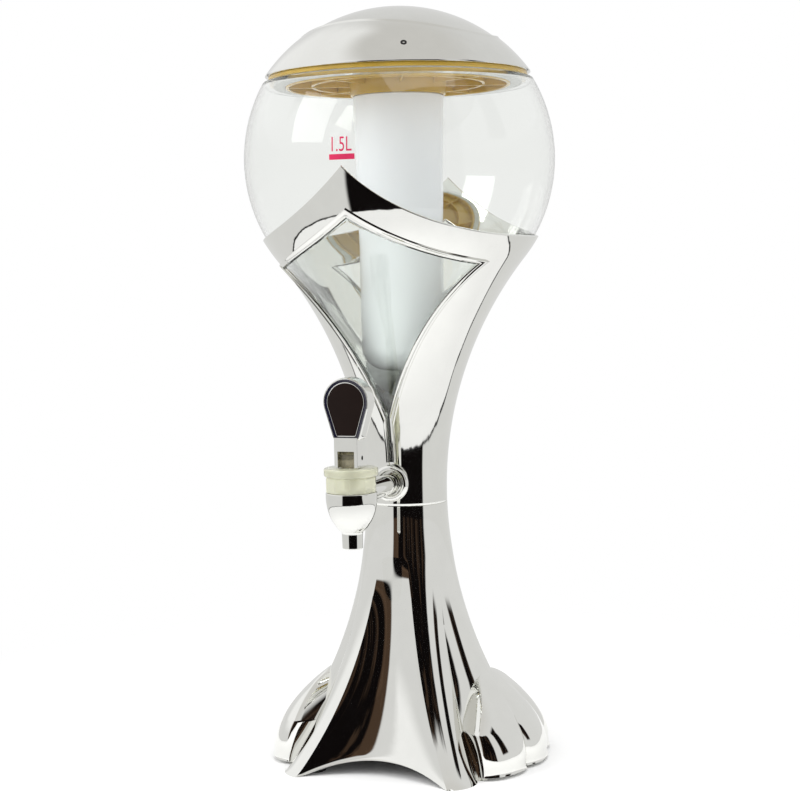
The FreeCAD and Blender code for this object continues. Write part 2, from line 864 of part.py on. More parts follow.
piece("tap_flange", facing("tap_flange_turn", [
    (thread + seat_gap, flange_back),
    (flange_radius - size("flange_edge"), flange_back),
    (flange_radius, flange_back + size("flange_edge")),
    (flange_radius - flange_depth / 2, flange_back + flange_depth, flange_depth, 1),
    (shank + size("flange_dish"), flange_back + flange_depth),
    (shank + seat_gap, flange_back + flange_depth - size("flange_dish")),
    (shank + seat_gap, shoulder),
    (thread + seat_gap, shoulder),
]))
washer_block = facing("washer_block", [
    (thread + seat_gap, waist - size("washer_root")),
    (size("outer_washer_radius"), waist - size("washer_root")),
    (size("outer_washer_radius"), flange_back),
    (thread + seat_gap, flange_back),
])
tower_form = skin_solid("tower_form", -(running_gap / 2), seam)
piece("tap_outer_washer", cut("outer_washer_cut", washer_block, tower_form))
washer = size("washer_thickness")
nut_face = work_out("nut_face", boss_face - washer)
piece("tap_inner_washer", facing("inner_washer_turn", [
    (thread + seat_gap, nut_face),
    (size("washer_radius"), nut_face),
    (size("washer_radius"), boss_face),
    (thread + seat_gap, boss_face),
]))
nut_block = doc.addObject("Part::Prism", "nut_block")
nut_block.Polygon = 6
bind(nut_block, "Circumradius", size("nut_flats") / math.sqrt(3))
bind(nut_block, "Height", size("nut_height"))
place(nut_block, 0, -(nut_face - size("nut_height")), tap_height, TO_FRONT)
nut_hole = rod("nut_hole", thread + running_gap, 0, boss_face, tap_height)
piece("tap_nut", cut("nut_cut", nut_block, nut_hole))

# Collar: a band with flats and a round flange, a guide bore for the plunger and a recess for the spring.
stem = size("stem_radius")
band_top = size("collar_band_top")
collar_top = size("collar_top")
recess_top = size("collar_recess_top")
collar_band = doc.addObject("Part::Prism", "collar_band")
bind(collar_band, "Polygon", int(value("collar_sides")))
bind(collar_band, "Circumradius", size("collar_radius"))
bind(collar_band, "Height", band_top - cup_top)
place(collar_band, 0, -tap_reach, cup_top)
collar_flange = cylinder("collar_flange", size("collar_flange_radius"), band_top, collar_top, 0, -tap_reach)
collar_bore = turned("collar_bore", [
    (0, cup_top - 1),
    (size("collar_recess_radius"), cup_top - 1),
    (size("collar_recess_radius"), recess_top),
    (stem + running_gap, recess_top),
    (stem + running_gap, collar_top + 1),
    (0, collar_top + 1),
])
place(collar_bore, 0, -tap_reach)
piece("tap_collar", cut("collar_cut", joined("collar_joined", collar_band, collar_flange), collar_bore))

# Plunger, its rubber seal, the return spring and the lever on its cross pin.
seal_low = work_out("seal_low", seat_height + running_gap)
seal_top = work_out("seal_top", seal_low + size("seal_thickness"))
plunger_shoulder = size("plunger_shoulder_radius")
shoulder_top = size("plunger_shoulder_top")
pin_height = size("pin_height")
pin_radius = size("pin_radius")
head_radius = size("head_radius")
head_width = size("head_width")
stem_turn = turned("stem_turn", [
    (0, seal_top),
    (size("seal_radius"), seal_top),
    (plunger_shoulder, shoulder_top - size("shoulder_taper")),
    (plunger_shoulder, shoulder_top),
    (stem, shoulder_top),
    (stem, pin_height),
    (0, pin_height),
])
place(stem_turn, 0, -tap_reach)
head_round = doc.addObject("Part::Cylinder", "head_round")
bind(head_round, "Radius", head_radius)
bind(head_round, "Height", head_width)
place(head_round, -head_width / 2, -tap_reach, pin_height, Rotation(Vector(0, 1, 0), 90))
head_block = doc.addObject("Part::Box", "head_block")
bind(head_block, "Length", head_width)
bind(head_block, "Width", 2 * head_radius)
bind(head_block, "Height", pin_height - collar_top - seat_gap)
place(head_block, -head_width / 2, -tap_reach - head_radius, collar_top + seat_gap)
pin_bore = doc.addObject("Part::Cylinder", "pin_bore")
bind(pin_bore, "Radius", pin_radius + running_gap)
bind(pin_bore, "Height", head_width * 2)
place(pin_bore, -head_width, -tap_reach, pin_height, Rotation(Vector(0, 1, 0), 90))
piece("tap_plunger", cut("plunger_cut", joined("plunger_joined", stem_turn, head_round, head_block), pin_bore))
seal = size("seal_radius")
seal_turn = turned("valve_seal_turn", [
    (0, seal_low),
    (seal - size("seal_edge"), seal_low),
    (seal, seal_low + size("seal_edge")),
    (seal, seal_top),
    (0, seal_top),
])
piece("valve_seal", place(seal_turn, 0, -tap_reach))

spring_wire = value("spring_wire")
spring_low = value("plunger_shoulder_top") + spring_wire
spring_high = value("collar_recess_top") - spring_wire
spring_turns = value("spring_turns")
coil = Part.makeHelix((spring_high - spring_low) / spring_turns, spring_high - spring_low, value("spring_radius"))
wire_ring = Part.Wire(Part.Circle(Vector(value("spring_radius"), 0, 0), Vector(0, 1, 0), spring_wire).toShape())
spring = doc.addObject("Part::Feature", "return_spring_coil")
spring.Shape = Part.Wire(coil.Edges).makePipeShell([wire_ring], True, False)
spring.Placement = Placement(Vector(0, -value("tap_reach"), spring_low), Rotation())
piece("return_spring", spring)

fork_width = size("fork_width")
fork_foot = size("fork_foot")
fork_top = size("fork_top")
fork_slot = size("fork_slot")
paddle_radius = size("paddle_radius")
paddle_centre = size("paddle_centre")
paddle_foot = size("paddle_foot")
paddle_foot_half = size("paddle_foot_width") / 2
paddle_depth = size("paddle_depth")


def balloon(inset):
    """Outline of the paddle at an inset: a round head and straight sides to a narrow foot."""
    round_radius = paddle_radius - inset
    out = paddle_foot_half - inset
    down = paddle_centre - paddle_foot - inset
    slant = out * out + down * down
    along = (slant - round_radius * round_radius).root()
    touch_out = (round_radius * round_radius * out + round_radius * along * down) / slant
    touch_up = (round_radius * along * out - round_radius * round_radius * down) / slant
    return [
        (-out, paddle_foot + inset),
        (out, paddle_foot + inset),
        (touch_out, paddle_centre + touch_up),
        (0, paddle_centre + round_radius, round_radius, 1),
        (-touch_out, paddle_centre + touch_up, round_radius, 1),
    ]


paddle = padded("paddle", "XZ_Plane", balloon(Size(0, "0")), paddle_depth)
doc.recompute()
half_depth = value("paddle_depth") / 2
paddle_pad = paddle.Tip
rim_edges = [
    "Edge%d" % (index + 1)
    for index, edge in enumerate(paddle_pad.Shape.Edges)
    if abs(abs(edge.CenterOfMass.y) - half_depth) < 0.001
]
paddle_fillet = paddle.newObject("PartDesign::Fillet", "paddle_fillet")
paddle_fillet.Base = (paddle_pad, rim_edges)
bind(paddle_fillet, "Radius", size("paddle_round"))
paddle.Tip = paddle_fillet
place(paddle, 0, -tap_reach)

fork = padded("fork", "XZ_Plane", [
    (-(fork_width / 2), fork_foot),
    (fork_width / 2, fork_foot),
    (fork_width / 2, fork_top),
    (-(fork_width / 2), fork_top),
], size("fork_depth"))
place(fork, 0, -tap_reach)
fork_gap = padded("fork_gap", "XZ_Plane", [
    (-(fork_slot / 2), fork_foot - 1),
    (fork_slot / 2, fork_foot - 1),
    (fork_slot / 2, size("fork_slot_top")),
    (-(fork_slot / 2), size("fork_slot_top")),
], size("fork_depth") + 1)
place(fork_gap, 0, -tap_reach)
label_thickness = size("label_thickness")
label_inset = size("label_inset")
label_recess = padded("label_recess", "XZ_Plane", balloon(label_inset - seat_gap), label_thickness)
recess_middle = tap_reach + paddle_depth / 2 - label_thickness / 2
place(label_recess, 0, -recess_middle)
cheek_bore = doc.addObject("Part::Cylinder", "cheek_bore")
bind(cheek_bore, "Radius", pin_radius + running_gap)
bind(cheek_bore, "Height", fork_width * 2)
place(cheek_bore, -fork_width, -tap_reach, pin_height, Rotation(Vector(0, 1, 0), 90))
piece("lever", cut("lever_cut", joined("lever_joined", paddle, fork), fork_gap, label_recess, cheek_bore))
label = padded("lever_label_pad", "XZ_Plane", balloon(label_inset), label_thickness)
piece("lever_label", place(label, 0, -recess_middle))
pin = doc.addObject("Part::Cylinder", "lever_pin_rod")
bind(pin, "Radius", pin_radius)
bind(pin, "Height", fork_width)
place(pin, -fork_width / 2, -tap_reach, pin_height, Rotation(Vector(0, 1, 0), 90))
piece("lever_pin", pin)

# Lid: a dome whose oval cap is stepped in, on the amber liner, with a small vent.
lid_centre = size("lid_centre")
cap_ball = work_out("cap_ball", size("lid_apex") - lid_centre)
skirt_ball = work_out("skirt_ball", cap_ball + size("lid_step"))
dome_inside = work_out("dome_inside", cap_ball - size("lid_wall"))
rim = size("lid_rim")
rim_above = rim - lid_centre
rim_rise = size("lid_rim_rise")


def ball_out(ball, above):
    return (ball * ball - above * above).root()


skirt_out = work_out("skirt_out", ball_out(skirt_ball, rim_above))
dome_in = work_out("dome_in", ball_out(dome_inside, rim_above))
dome_turn = turned("dome_turn", [
    (dome_in, rim),
    (skirt_out - size("lid_rim_edge"), rim),
    (ball_out(skirt_ball, rim_above + rim_rise), rim + rim_rise),
    (0, lid_centre + skirt_ball, skirt_ball, 1),
    (0, lid_centre + dome_inside),
    (ball_out(dome_inside, rim_above + rim_rise), rim + rim_rise, dome_inside, -1),
])
cap_shell = turned("cap_shell", [
    (0, lid_centre + cap_ball),
    (cap_ball, lid_centre, cap_ball, -1),
    (cap_ball + BEYOND, lid_centre),
    (cap_ball + BEYOND, lid_centre + cap_ball + BEYOND),
    (0, lid_centre + cap_ball + BEYOND),
])
step_oval = doc.addObject("Part::Ellipse", "step_oval")
bind(step_oval, "MajorRadius", size("step_long"))
bind(step_oval, "MinorRadius", size("step_short"))
step_prism = doc.addObject("Part::Extrusion", "step_prism")
step_prism.Base = step_oval
step_prism.DirMode = "Custom"
step_prism.Dir = Vector(0, 0, 1)
bind(step_prism, "LengthFwd", size("lid_apex") * 2)
step_prism.Solid = True
place(step_prism, 0, 0, 0, Rotation(Vector(0, 0, 1), value("step_turn") - 90))
vent_angle = math.radians(value("vent_azimuth"))
vent_out = value("vent_out")
vent_height = value("lid_centre") + math.sqrt(float(cap_ball) ** 2 - vent_out ** 2)
vent_point = Vector(vent_out * math.sin(vent_angle), -vent_out * math.cos(vent_angle), vent_height)
vent_way = vent_point - Vector(0, 0, value("lid_centre"))
vent_turn = Rotation(Vector(0, 0, 1), vent_way)


def vent_rod(name, radius, depth, proud):
    thing = doc.addObject("Part::Cylinder", name)
    bind(thing, "Radius", radius)
    bind(thing, "Height", depth + proud)
    thing.Placement = Placement(vent_point - vent_way.normalize() * depth, vent_turn)
    return thing


lid_wall = value("lid_wall")
vent_radius = size("vent_radius")
step_cut = common("step_cut", cap_shell, step_prism)
vent_hole = vent_rod("vent_hole", vent_radius, lid_wall * 3, lid_wall * 2)
piece("lid_dome", cut("dome_cut", dome_turn, step_cut, vent_hole))
vent_plug = vent_rod("vent_plug", vent_radius - running_gap, lid_wall, value("vent_proud"))
vent_bore = vent_rod("vent_bore_rod", size("vent_bore"), lid_wall * 3, lid_wall * 2)
piece("lid_vent", cut("vent_cut", vent_plug, vent_bore))

gasket_high = work_out("gasket_high", lip + size("gasket_thickness"))
liner_out = size("liner_radius")
piece("lid_gasket", turned("gasket_turn", [
    (mouth + seat_gap, lip),
    (mouth + size("gasket_width"), lip),
    (mouth + size("gasket_width"), gasket_high),
    (mouth + seat_gap, gasket_high),
]))

# Liner: a flange under the dome, a plug in the mouth, a ring, a boss for the tube and ribs between.
plug_out = work_out("plug_out", mouth - size("liner_plug_gap"))
liner_wall = size("liner_wall")
boss_foot = size("tube_boss_foot")
neck_out = size("tube_neck_radius")
boss_in = work_out("tube_boss_in", neck_out + running_gap)
boss_out_radius = size("tube_boss_radius")
ring_out = size("ring_radius")
liner_turn = turned("liner_turn", [
    (0, gasket_high),
    (boss_in, gasket_high),
    (boss_in, boss_foot),
    (boss_out_radius, boss_foot),
    (boss_out_radius, gasket_high),
    (ring_out - liner_wall, gasket_high),
    (ring_out - liner_wall, gasket_high - size("ring_depth")),
    (ring_out, gasket_high - size("ring_depth")),
    (ring_out, gasket_high),
    (plug_out - liner_wall, gasket_high),
    (plug_out - liner_wall, gasket_high - size("liner_plug_depth")),
    (plug_out, gasket_high - size("liner_plug_depth")),
    (plug_out, gasket_high),
    (liner_out, gasket_high),
    (liner_out, rim),
    (0, rim),
])
rib_depth = size("rib_depth")
rib_thickness = size("rib_thickness")
rib_bodies = []
rib_count = int(value("rib_count"))
for index in range(rib_count):
    rib = doc.addObject("Part::Box", "rib_%d" % (index + 1))
    bind(rib, "Length", plug_out - liner_wall / 2 - boss_out_radius + 1)
    bind(rib, "Width", rib_thickness)
    bind(rib, "Height", rib_depth)
    angle = 2 * math.pi * (index + 0.5) / rib_count
    half = float(rib_thickness) / 2
    start = float(boss_out_radius) - 1
    spot = Vector(
        start * math.cos(angle) + half * math.sin(angle),
        start * math.sin(angle) - half * math.cos(angle),
        float(gasket_high) - float(rib_depth))
    rib.Placement = Placement(spot, Rotation(Vector(0, 0, 1), math.degrees(angle)))
    rib_bodies.append(rib)
piece("lid_liner", joined("liner_joined", liner_turn, *rib_bodies))

# Ice tube: a neck that twists in the liner's boss, a long tapering wall and a rounded foot.
tube_top = size("tube_top_radius")
tube_low = size("tube_low_radius")
tube_low_height = size("tube_low_height")
tube_foot = size("tube_foot")
foot_round = size("tube_foot_round")
tube_wall = size("tube_wall")
neck_top = gasket_high - seat_gap
tube_shoulder = boss_foot - seat_gap
oring_height = size("oring_height")
oring = size("oring_wire") / 2
groove_in = neck_out - oring - oring
groove_half = oring + seat_gap / 2
piece("ice_tube", turned("tube_turn", [
    (0, tube_foot),
    (tube_low - foot_round, tube_foot),
    (tube_low, tube_foot + foot_round, foot_round, 1),
    (tube_low, tube_low_height),
    (tube_top, tube_shoulder),
    (neck_out, tube_shoulder),
    (neck_out, oring_height - groove_half),
    (groove_in, oring_height - groove_half),
    (groove_in, oring_height + groove_half),
    (neck_out, oring_height + groove_half),
    (neck_out, neck_top),
    (neck_out - size("tube_neck_wall"), neck_top),
    (neck_out - size("tube_neck_wall"), tube_shoulder - size("tube_neck_drop")),
    (tube_low - tube_wall, tube_low_height),
    (tube_low - tube_wall, tube_foot + foot_round),
    (tube_low - foot_round, tube_foot + tube_wall, foot_round - tube_wall, -1),
    (0, tube_foot + tube_wall),
]))
ring = doc.addObject("Part::Torus", "oring_torus")
bind(ring, "Radius1", neck_out - oring)
bind(ring, "Radius2", oring)
piece("ice_tube_oring", place(ring, 0, 0, oring_height))

doc.recompute()
for thing in doc.Objects:
    if "Invalid" in thing.State or "Error" in thing.State:
        raise RuntimeError("%s failed: %s" % (thing.Name, thing.State))
os.makedirs("parts", exist_ok=True)
for node, thing in pieces.items():
    shape = thing.Shape
    if shape.isNull() or not shape.isValid():
        raise RuntimeError("%s has no valid shape" % node)
    shape.exportStep("parts/%s.step" % node)
    print("%-18s %2d solids %10.1f mm3" % (node, len(shape.Solids), shape.Volume))
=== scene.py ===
"""Table drink tower with a fluted chrome pedestal, a windowed shroud, a clear globe and one lever tap."""

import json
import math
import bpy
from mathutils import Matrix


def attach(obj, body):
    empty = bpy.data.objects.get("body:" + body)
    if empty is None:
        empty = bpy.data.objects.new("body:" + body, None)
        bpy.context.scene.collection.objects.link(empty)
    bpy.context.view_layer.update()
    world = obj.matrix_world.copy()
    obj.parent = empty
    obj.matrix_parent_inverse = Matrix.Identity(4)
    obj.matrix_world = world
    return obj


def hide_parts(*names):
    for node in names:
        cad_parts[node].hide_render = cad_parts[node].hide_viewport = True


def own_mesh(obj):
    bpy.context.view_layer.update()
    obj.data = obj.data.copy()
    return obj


bl_info = {
    "name": "Drink Tower",
    "version": (1, 0, 0),
    "blender": (4, 5, 0),
    "location": "3D View > Sidebar > Tower",
    "description": "Builds the surfaces and finishes of a table drink tower",
    "category": "Object",
}

import bmesh
import bpy
import numpy as np
from mathutils import Matrix

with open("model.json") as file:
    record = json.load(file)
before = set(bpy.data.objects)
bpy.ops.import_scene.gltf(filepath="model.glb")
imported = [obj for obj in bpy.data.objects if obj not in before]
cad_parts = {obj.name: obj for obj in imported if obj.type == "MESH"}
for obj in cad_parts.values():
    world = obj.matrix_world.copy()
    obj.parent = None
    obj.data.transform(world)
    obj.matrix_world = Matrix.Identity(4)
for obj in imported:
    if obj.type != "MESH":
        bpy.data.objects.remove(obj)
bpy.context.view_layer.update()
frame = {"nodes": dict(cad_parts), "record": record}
MM = 0.001


# Settings that a user would change


def distance(name, millimetres, text):
    """A length property, with its default given in millimetres."""
    return bpy.props.FloatProperty(
        name=name, description=text, default=millimetres * MM, precision=4, subtype="DISTANCE", unit="LENGTH")


def share(name, default, text):
    """A factor from 0 to 1."""
    return bpy.props.FloatProperty(name=name, description=text, default=default, min=0, max=1, subtype="FACTOR")


def tint(name, red, green, blue, text):
    """A colour property, with its default given as the 0 to 255 values seen on a screen."""
    seen = np.array((red, green, blue)) / 255
    linear = np.where(seen > 0.04045, ((seen + 0.055) / 1.055) ** 2.4, seen / 12.92)
    return bpy.props.FloatVectorProperty(
        name=name, description=text, default=linear.tolist(), size=3, min=0, max=1, subtype="COLOR")


class TowerSizes(bpy.types.PropertyGroup):
    """Sizes of the tower's own forms."""

    globe_radius: distance("Globe radius", 90.6, "Outside of the clear globe")
    globe_height: distance("Globe height", 352, "Height of the globe's middle")
    waist_radius: distance("Waist radius", 24, "Outside of the narrowest part")
    waist_height: distance("Waist height", 157, "Height of the narrowest part")
    seam_height: distance("Seam height", 151, "Where the shroud meets the pedestal")
    foot_flare: distance("Foot flare", 238, "Radius of the pedestal's main curve")
    panel_depth: distance("Panel depth", 23, "How far the front and back panels are hollow at the table")
    valley_depth: distance("Valley depth", 9, "How deep the valley beside each foot is at the table")
    arch_height: distance("Arch height", 9, "How far the edge between two feet is off the table")
    toe_reach: distance("Toe reach", 82.4, "How far out the side lobes reach")
    toe_notch: distance("Toe notch", 4.6, "How deep the creases between toes are at the table")
    frame_proud: distance("Frame height", 1.2, "How far the window frames stand proud")
    lid_step: distance("Lid step", 0.9, "Depth of the oval step in the lid")
    paddle_radius: distance("Paddle radius", 13.25, "Round end of the lever's paddle")
    tap_reach: distance("Tap reach", 88, "How far the tap's middle is in front of the tower's")


class TowerColours(bpy.types.PropertyGroup):
    """Colours and gloss of the tower's finishes."""

    chrome: tint("Chrome", 238, 238, 234, "Vacuum plated plastic")
    clear: tint("Clear", 253, 254, 253, "Clear moulded plastic")
    pane: tint("Pane", 248, 250, 248, "Thick clear plastic in the windows")
    amber: tint("Amber", 226, 186, 76, "Lid liner")
    milky: tint("Milky", 248, 250, 255, "Ice tube")
    pale: tint("Pale", 244, 244, 220, "Tap collar")
    smoky: tint("Smoky", 176, 168, 140, "Tap plunger")
    label: tint("Label", 30, 20, 17, "Bare face of the lever")
    mark: tint("Mark", 214, 32, 88, "Printed level mark")
    chrome_roughness: share("Chrome roughness", 0.035, "Blur of the plated plastic")
    studio_dark: tint("Dark side", 82, 64, 50, "What the chrome mirrors on the studio's dark side")


def sizes():
    """The settings in millimetres, as plain numbers."""
    group = bpy.context.scene.tower_sizes
    return {key: getattr(group, key) / MM for key in TowerSizes.__annotations__}


# Curves and surfaces


def arc(start, end, radius, side, count):
    """Points after start and up to end on a circle of that radius; its centre is on the left for side 1."""
    start, end = np.array(start, float), np.array(end, float)
    along = end - start
    half = np.hypot(*along) / 2
    left = np.array((-along[1], along[0])) / (2 * half)
    centre = (start + end) / 2 + side * left * math.sqrt(max(radius ** 2 - half ** 2, 0))
    first = math.atan2(*(start - centre)[::-1])
    sweep = side * 2 * math.asin(min(half / radius, 1))
    angles = first + sweep * np.arange(1, count + 1) / count
    return centre + radius * np.stack((np.cos(angles), np.sin(angles)), 1)


def outline(corners, closed=False, step=1.6):
    """Points along straight runs and arcs. A corner is (out, up), or (out, up, radius, side) at an arc's end."""
    if closed:
        corners = [corners[-1][:2], *corners]
    points = [np.array([corners[0][:2]], float)]
    for before, corner in zip(corners, corners[1:]):
        if len(corner) == 2:
            points.append(np.array([corner], float))
        else:
            length = math.dist(before[:2], corner[:2])
            points.append(arc(before[:2], corner[:2], *corner[2:], max(int(length / step), 6)))
    points = np.concatenate(points)
    return points[1:] if closed else points


def turned(points, steps=180, about=(0, 0)):
    """Grid of a profile (out, up) carried round an upright axis: x = out sin a, y = -out cos a, z = up."""
    angle = np.linspace(0, 2 * np.pi, steps, endpoint=False)
    out, up = points[:, 0, None], points[:, 1, None]
    return np.stack((about[0] + out * np.sin(angle), about[1] - out * np.cos(angle), up + 0 * angle), -1)


def lying(points, height, steps=96):
    """Grid of a profile (out, forward) carried round a level axis that runs to the front at a height."""
    angle = np.linspace(0, 2 * np.pi, steps, endpoint=False)
    out, forward = points[:, 0, None], points[:, 1, None]
    return np.stack((out * np.cos(angle), -forward + 0 * angle, height + out * np.sin(angle)), -1)


def grid_faces(rows, columns, round_rows, round_columns):
    """Corner numbers of the quads between neighbours of a grid, whose ends may join."""
    row = np.arange(rows if round_rows else rows - 1)[:, None]
    column = np.arange(columns if round_columns else columns - 1)[None, :]
    below, beside = (row + 1) % rows, (column + 1) % columns
    corners = (row * columns + column, row * columns + beside, below * columns + beside, below * columns + column)
    return np.stack([np.broadcast_to(c, (len(row), column.shape[1])) for c in corners], -1).reshape(-1, 4)


class Form:
    """Grids gathered into one mesh, in millimetres."""

    def __init__(self):
        self.points, self.faces, self.count = [], [], 0

    def grid(self, spots, round_rows=False, round_columns=False):
        """Adds quads over spots[row, column]."""
        rows, columns = spots.shape[:2]
        self.faces.append(grid_faces(rows, columns, round_rows, round_columns) + self.count)
        self.points.append(spots.reshape(-1, 3))
        self.count += rows * columns
        return self

    def turned(self, corners, steps=180, about=(0, 0), step=1.6):
        """Adds a closed profile carried round an upright axis."""
        points = outline(corners, closed=True, step=step)
        return self.grid(turned(points, steps, about), round_rows=True, round_columns=True)

    def lying(self, corners, height, steps=96, step=1.0):
        """Adds a closed profile carried round a level axis."""
        points = outline(corners, closed=True, step=step)
        return self.grid(lying(points, height, steps), round_rows=True, round_columns=True)

    def capped(self, rings):
        """Adds rings[row, column] joined in order, with both end rings drawn in to their middles."""
        first = rings[:1].mean(axis=1, keepdims=True) + 0 * rings[:1]
        last = rings[-1:].mean(axis=1, keepdims=True) + 0 * rings[-1:]
        return self.grid(np.concatenate((first, rings, last)), round_columns=True)

    def prism(self, points, front, back):
        """Adds an outline (x, z) carried from one y to another, closed with flat ends."""
        ring = np.stack((points[:, 0], 0 * points[:, 0], points[:, 1]), -1)
        ends = np.stack((ring + (0, front, 0), ring + (0, back, 0)))
        self.grid(ends, round_columns=True)
        for index in (0, 1):
            edge = np.arange(len(ring)) + self.count - (2 - index) * len(ring)
            self.faces.append([edge.tolist()])
        return self

    def mesh(self, name):
        """The mesh with doubles merged and faces turned outwards."""
        faces = [face for group in self.faces for face in (group.tolist() if isinstance(group, np.ndarray) else group)]
        mesh = bpy.data.meshes.new(name)
        mesh.from_pydata((np.concatenate(self.points) * MM).tolist(), [], faces)
        work = bmesh.new()
        work.from_mesh(mesh)
        bmesh.ops.remove_doubles(work, verts=work.verts, dist=1e-6)
        bmesh.ops.dissolve_degenerate(work, edges=work.edges, dist=1e-7)
        bmesh.ops.recalc_face_normals(work, faces=work.faces)
        work.to_mesh(mesh)
        work.free()
        return mesh


def place_piece(name, form, body, material, replaces=(), edge=0.0, crease=32):
    """Puts a form in the scene as one smooth piece that rides on a body, with its sharp edges rounded."""
    mesh = form.mesh(name) if isinstance(form, Form) else form
    mesh.materials.clear()
    mesh.materials.append(material)
    piece = bpy.data.objects.new(name, mesh)
    bpy.context.scene.collection.objects.link(piece)
    mesh.shade_smooth()
    mesh.set_sharp_from_angle(angle=math.radians(crease))
    if edge:
        rounding = piece.modifiers.new("rounding", "BEVEL")
        rounding.width = edge * MM
        rounding.segments = 3
        rounding.limit_method = "ANGLE"
        rounding.angle_limit = math.radians(crease)
        rounding.harden_normals = True
    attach(piece, body)
    if replaces:
        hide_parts(*replaces)
    return piece


# Finishes


class Value:
    """One socket of a node tree; sums on it add Math nodes."""

    def __init__(self, finish, socket):
        self.finish, self.socket = finish, socket

    def math(self, operation, *others):
        return self.finish.node("ShaderNodeMath", {"operation": operation}, {
            index: other for index, other in enumerate((self, *others))})

    def __add__(self, other):
        return self.math("ADD", other)

    def __radd__(self, other):
        return self.math("ADD", other)

    def __sub__(self, other):
        return self.math("SUBTRACT", other)

    def __rsub__(self, other):
        return self.finish.node("ShaderNodeMath", {"operation": "SUBTRACT"}, {0: other, 1: self})

    def __mul__(self, other):
        return self.math("MULTIPLY", other)

    def __rmul__(self, other):
        return self.math("MULTIPLY", other)

    def within(self, low, high):
        """0 at low, 1 at high, smooth between, and level outside."""
        return self.finish.node("ShaderNodeMapRange", {"interpolation_type": "SMOOTHSTEP"}, {
            "Value": self, "From Min": low, "From Max": high})


class Finish:
    """A node tree written as calls: node() takes a type, its settings, and values or links for its sockets."""

    def __init__(self, tree):
        self.tree = tree
        tree.nodes.clear()

    def node(self, kind, settings=None, sockets=None, out=0):
        made = self.tree.nodes.new(kind)
        for key, setting in (settings or {}).items():
            if key == "stops":
                ramp = made.color_ramp
                while len(ramp.elements) < len(setting):
                    ramp.elements.new(0.5)
                for element, (position, colour) in zip(ramp.elements, setting):
                    element.position = position
                    element.color = (*colour, 1)
            else:
                setattr(made, key, setting)
        for key, value in (sockets or {}).items():
            socket = made.inputs[key]
            if isinstance(value, Value):
                self.tree.links.new(value.socket, socket)
            elif hasattr(value, "__len__") and len(socket.default_value) == 4 and len(value) == 3:
                socket.default_value = (*value, 1)
            else:
                socket.default_value = value
        return Value(self, made.outputs[out]) if made.outputs else None

    def place(self):
        """Object coordinates in metres."""
        return self.node("ShaderNodeTexCoord", out="Object")

    def axis(self, vector, name):
        return self.node("ShaderNodeSeparateXYZ", None, {0: vector}, out=name)

    def stretched(self, scale):
        """Object coordinates scaled on each axis."""
        return self.node("ShaderNodeMapping", None, {"Vector": self.place(), "Scale": scale})

    def noise(self, scale, detail=3.0, roughness=0.5, vector=None, bend=0.0):
        return self.node("ShaderNodeTexNoise", None, {
            "Vector": vector or self.place(), "Scale": scale, "Detail": detail, "Roughness": roughness,
            "Distortion": bend})

    def mix(self, factor, first, second):
        """A colour between two colours."""
        return self.node("ShaderNodeMix", {"data_type": "RGBA"}, {0: factor, 6: first, 7: second}, out=2)

    def bump(self, height, strength, distance):
        """A normal raised by a height, with distance in millimetres."""
        return self.node("ShaderNodeBump", None, {"Height": height, "Strength": strength, "Distance": distance * MM})

    def surface(self, lets_light=None, **sockets):
        """The Principled shader as the material's surface. Underscores in names stand for spaces.

        Where lets_light is a colour, shadow rays and diffuse rays pass straight through in that colour.
        """
        shader = self.node("ShaderNodeBsdfPrincipled", None, {
            key.replace("_", " ").replace("ior", "IOR"): value for key, value in sockets.items()})
        if lets_light:
            shadow, diffuse = (self.node("ShaderNodeLightPath", out=ray) for ray in ("Is Shadow Ray", "Is Diffuse Ray"))
            passed = self.node("ShaderNodeBsdfTransparent", None, {"Color": lets_light})
            shader = self.node("ShaderNodeMixShader", None, {0: shadow.math("MAXIMUM", diffuse), 1: shader, 2: passed})
        self.node("ShaderNodeOutputMaterial", None, {"Surface": shader})


def material(name):
    """A new material and its tree."""
    made = bpy.data.materials.new(name)
    made.use_nodes = True
    return made, Finish(made.node_tree)


def shaded(colour, factor):
    """A colour brought down or up by a factor."""
    return tuple(min(part * factor, 1) for part in colour)


def chrome_finish(name, colour, roughness, ripple=0.35, dull=0.0):
    """Vacuum plated plastic: a mirror with slow moulding ripple, faint haze and hairline wear."""
    made, finish = material(name)
    slow = finish.noise(26, 1.5, 0.4)
    haze = finish.noise(60, 4, 0.6)
    hair = finish.noise(900, 2, 0.5, vector=finish.stretched((1, 1, 0.12)))
    wear = (hair - 0.62).within(0, 0.12) * haze.within(0.5, 0.7)
    finish.surface(
        Base_Color=finish.mix(haze.within(0.35, 0.75), shaded(colour, 0.97), colour),
        Metallic=1.0,
        Roughness=wear * 0.05 + haze.within(0.4, 0.8) * 0.02 + (roughness + dull),
        Normal=finish.bump(slow, ripple, 0.25))
    return made


def clear_finish(name, colour, roughness=0.012, ripple=0.12):
    """Clear moulded plastic, with flow marks that bend what is seen through it and a few fine scuffs."""
    made, finish = material(name)
    flow = finish.noise(22, 1, 0.4)
    scuff = finish.noise(700, 2, 0.5, vector=finish.stretched((0.2, 0.2, 1)))
    finish.surface(
        lets_light=colour,
        Base_Color=finish.mix(flow, colour, shaded(colour, 0.985)),
        Roughness=scuff.within(0.66, 0.8) * 0.08 + roughness,
        Transmission_Weight=1.0,
        ior=1.46,
        Normal=finish.bump(flow, ripple, 0.2))
    return made


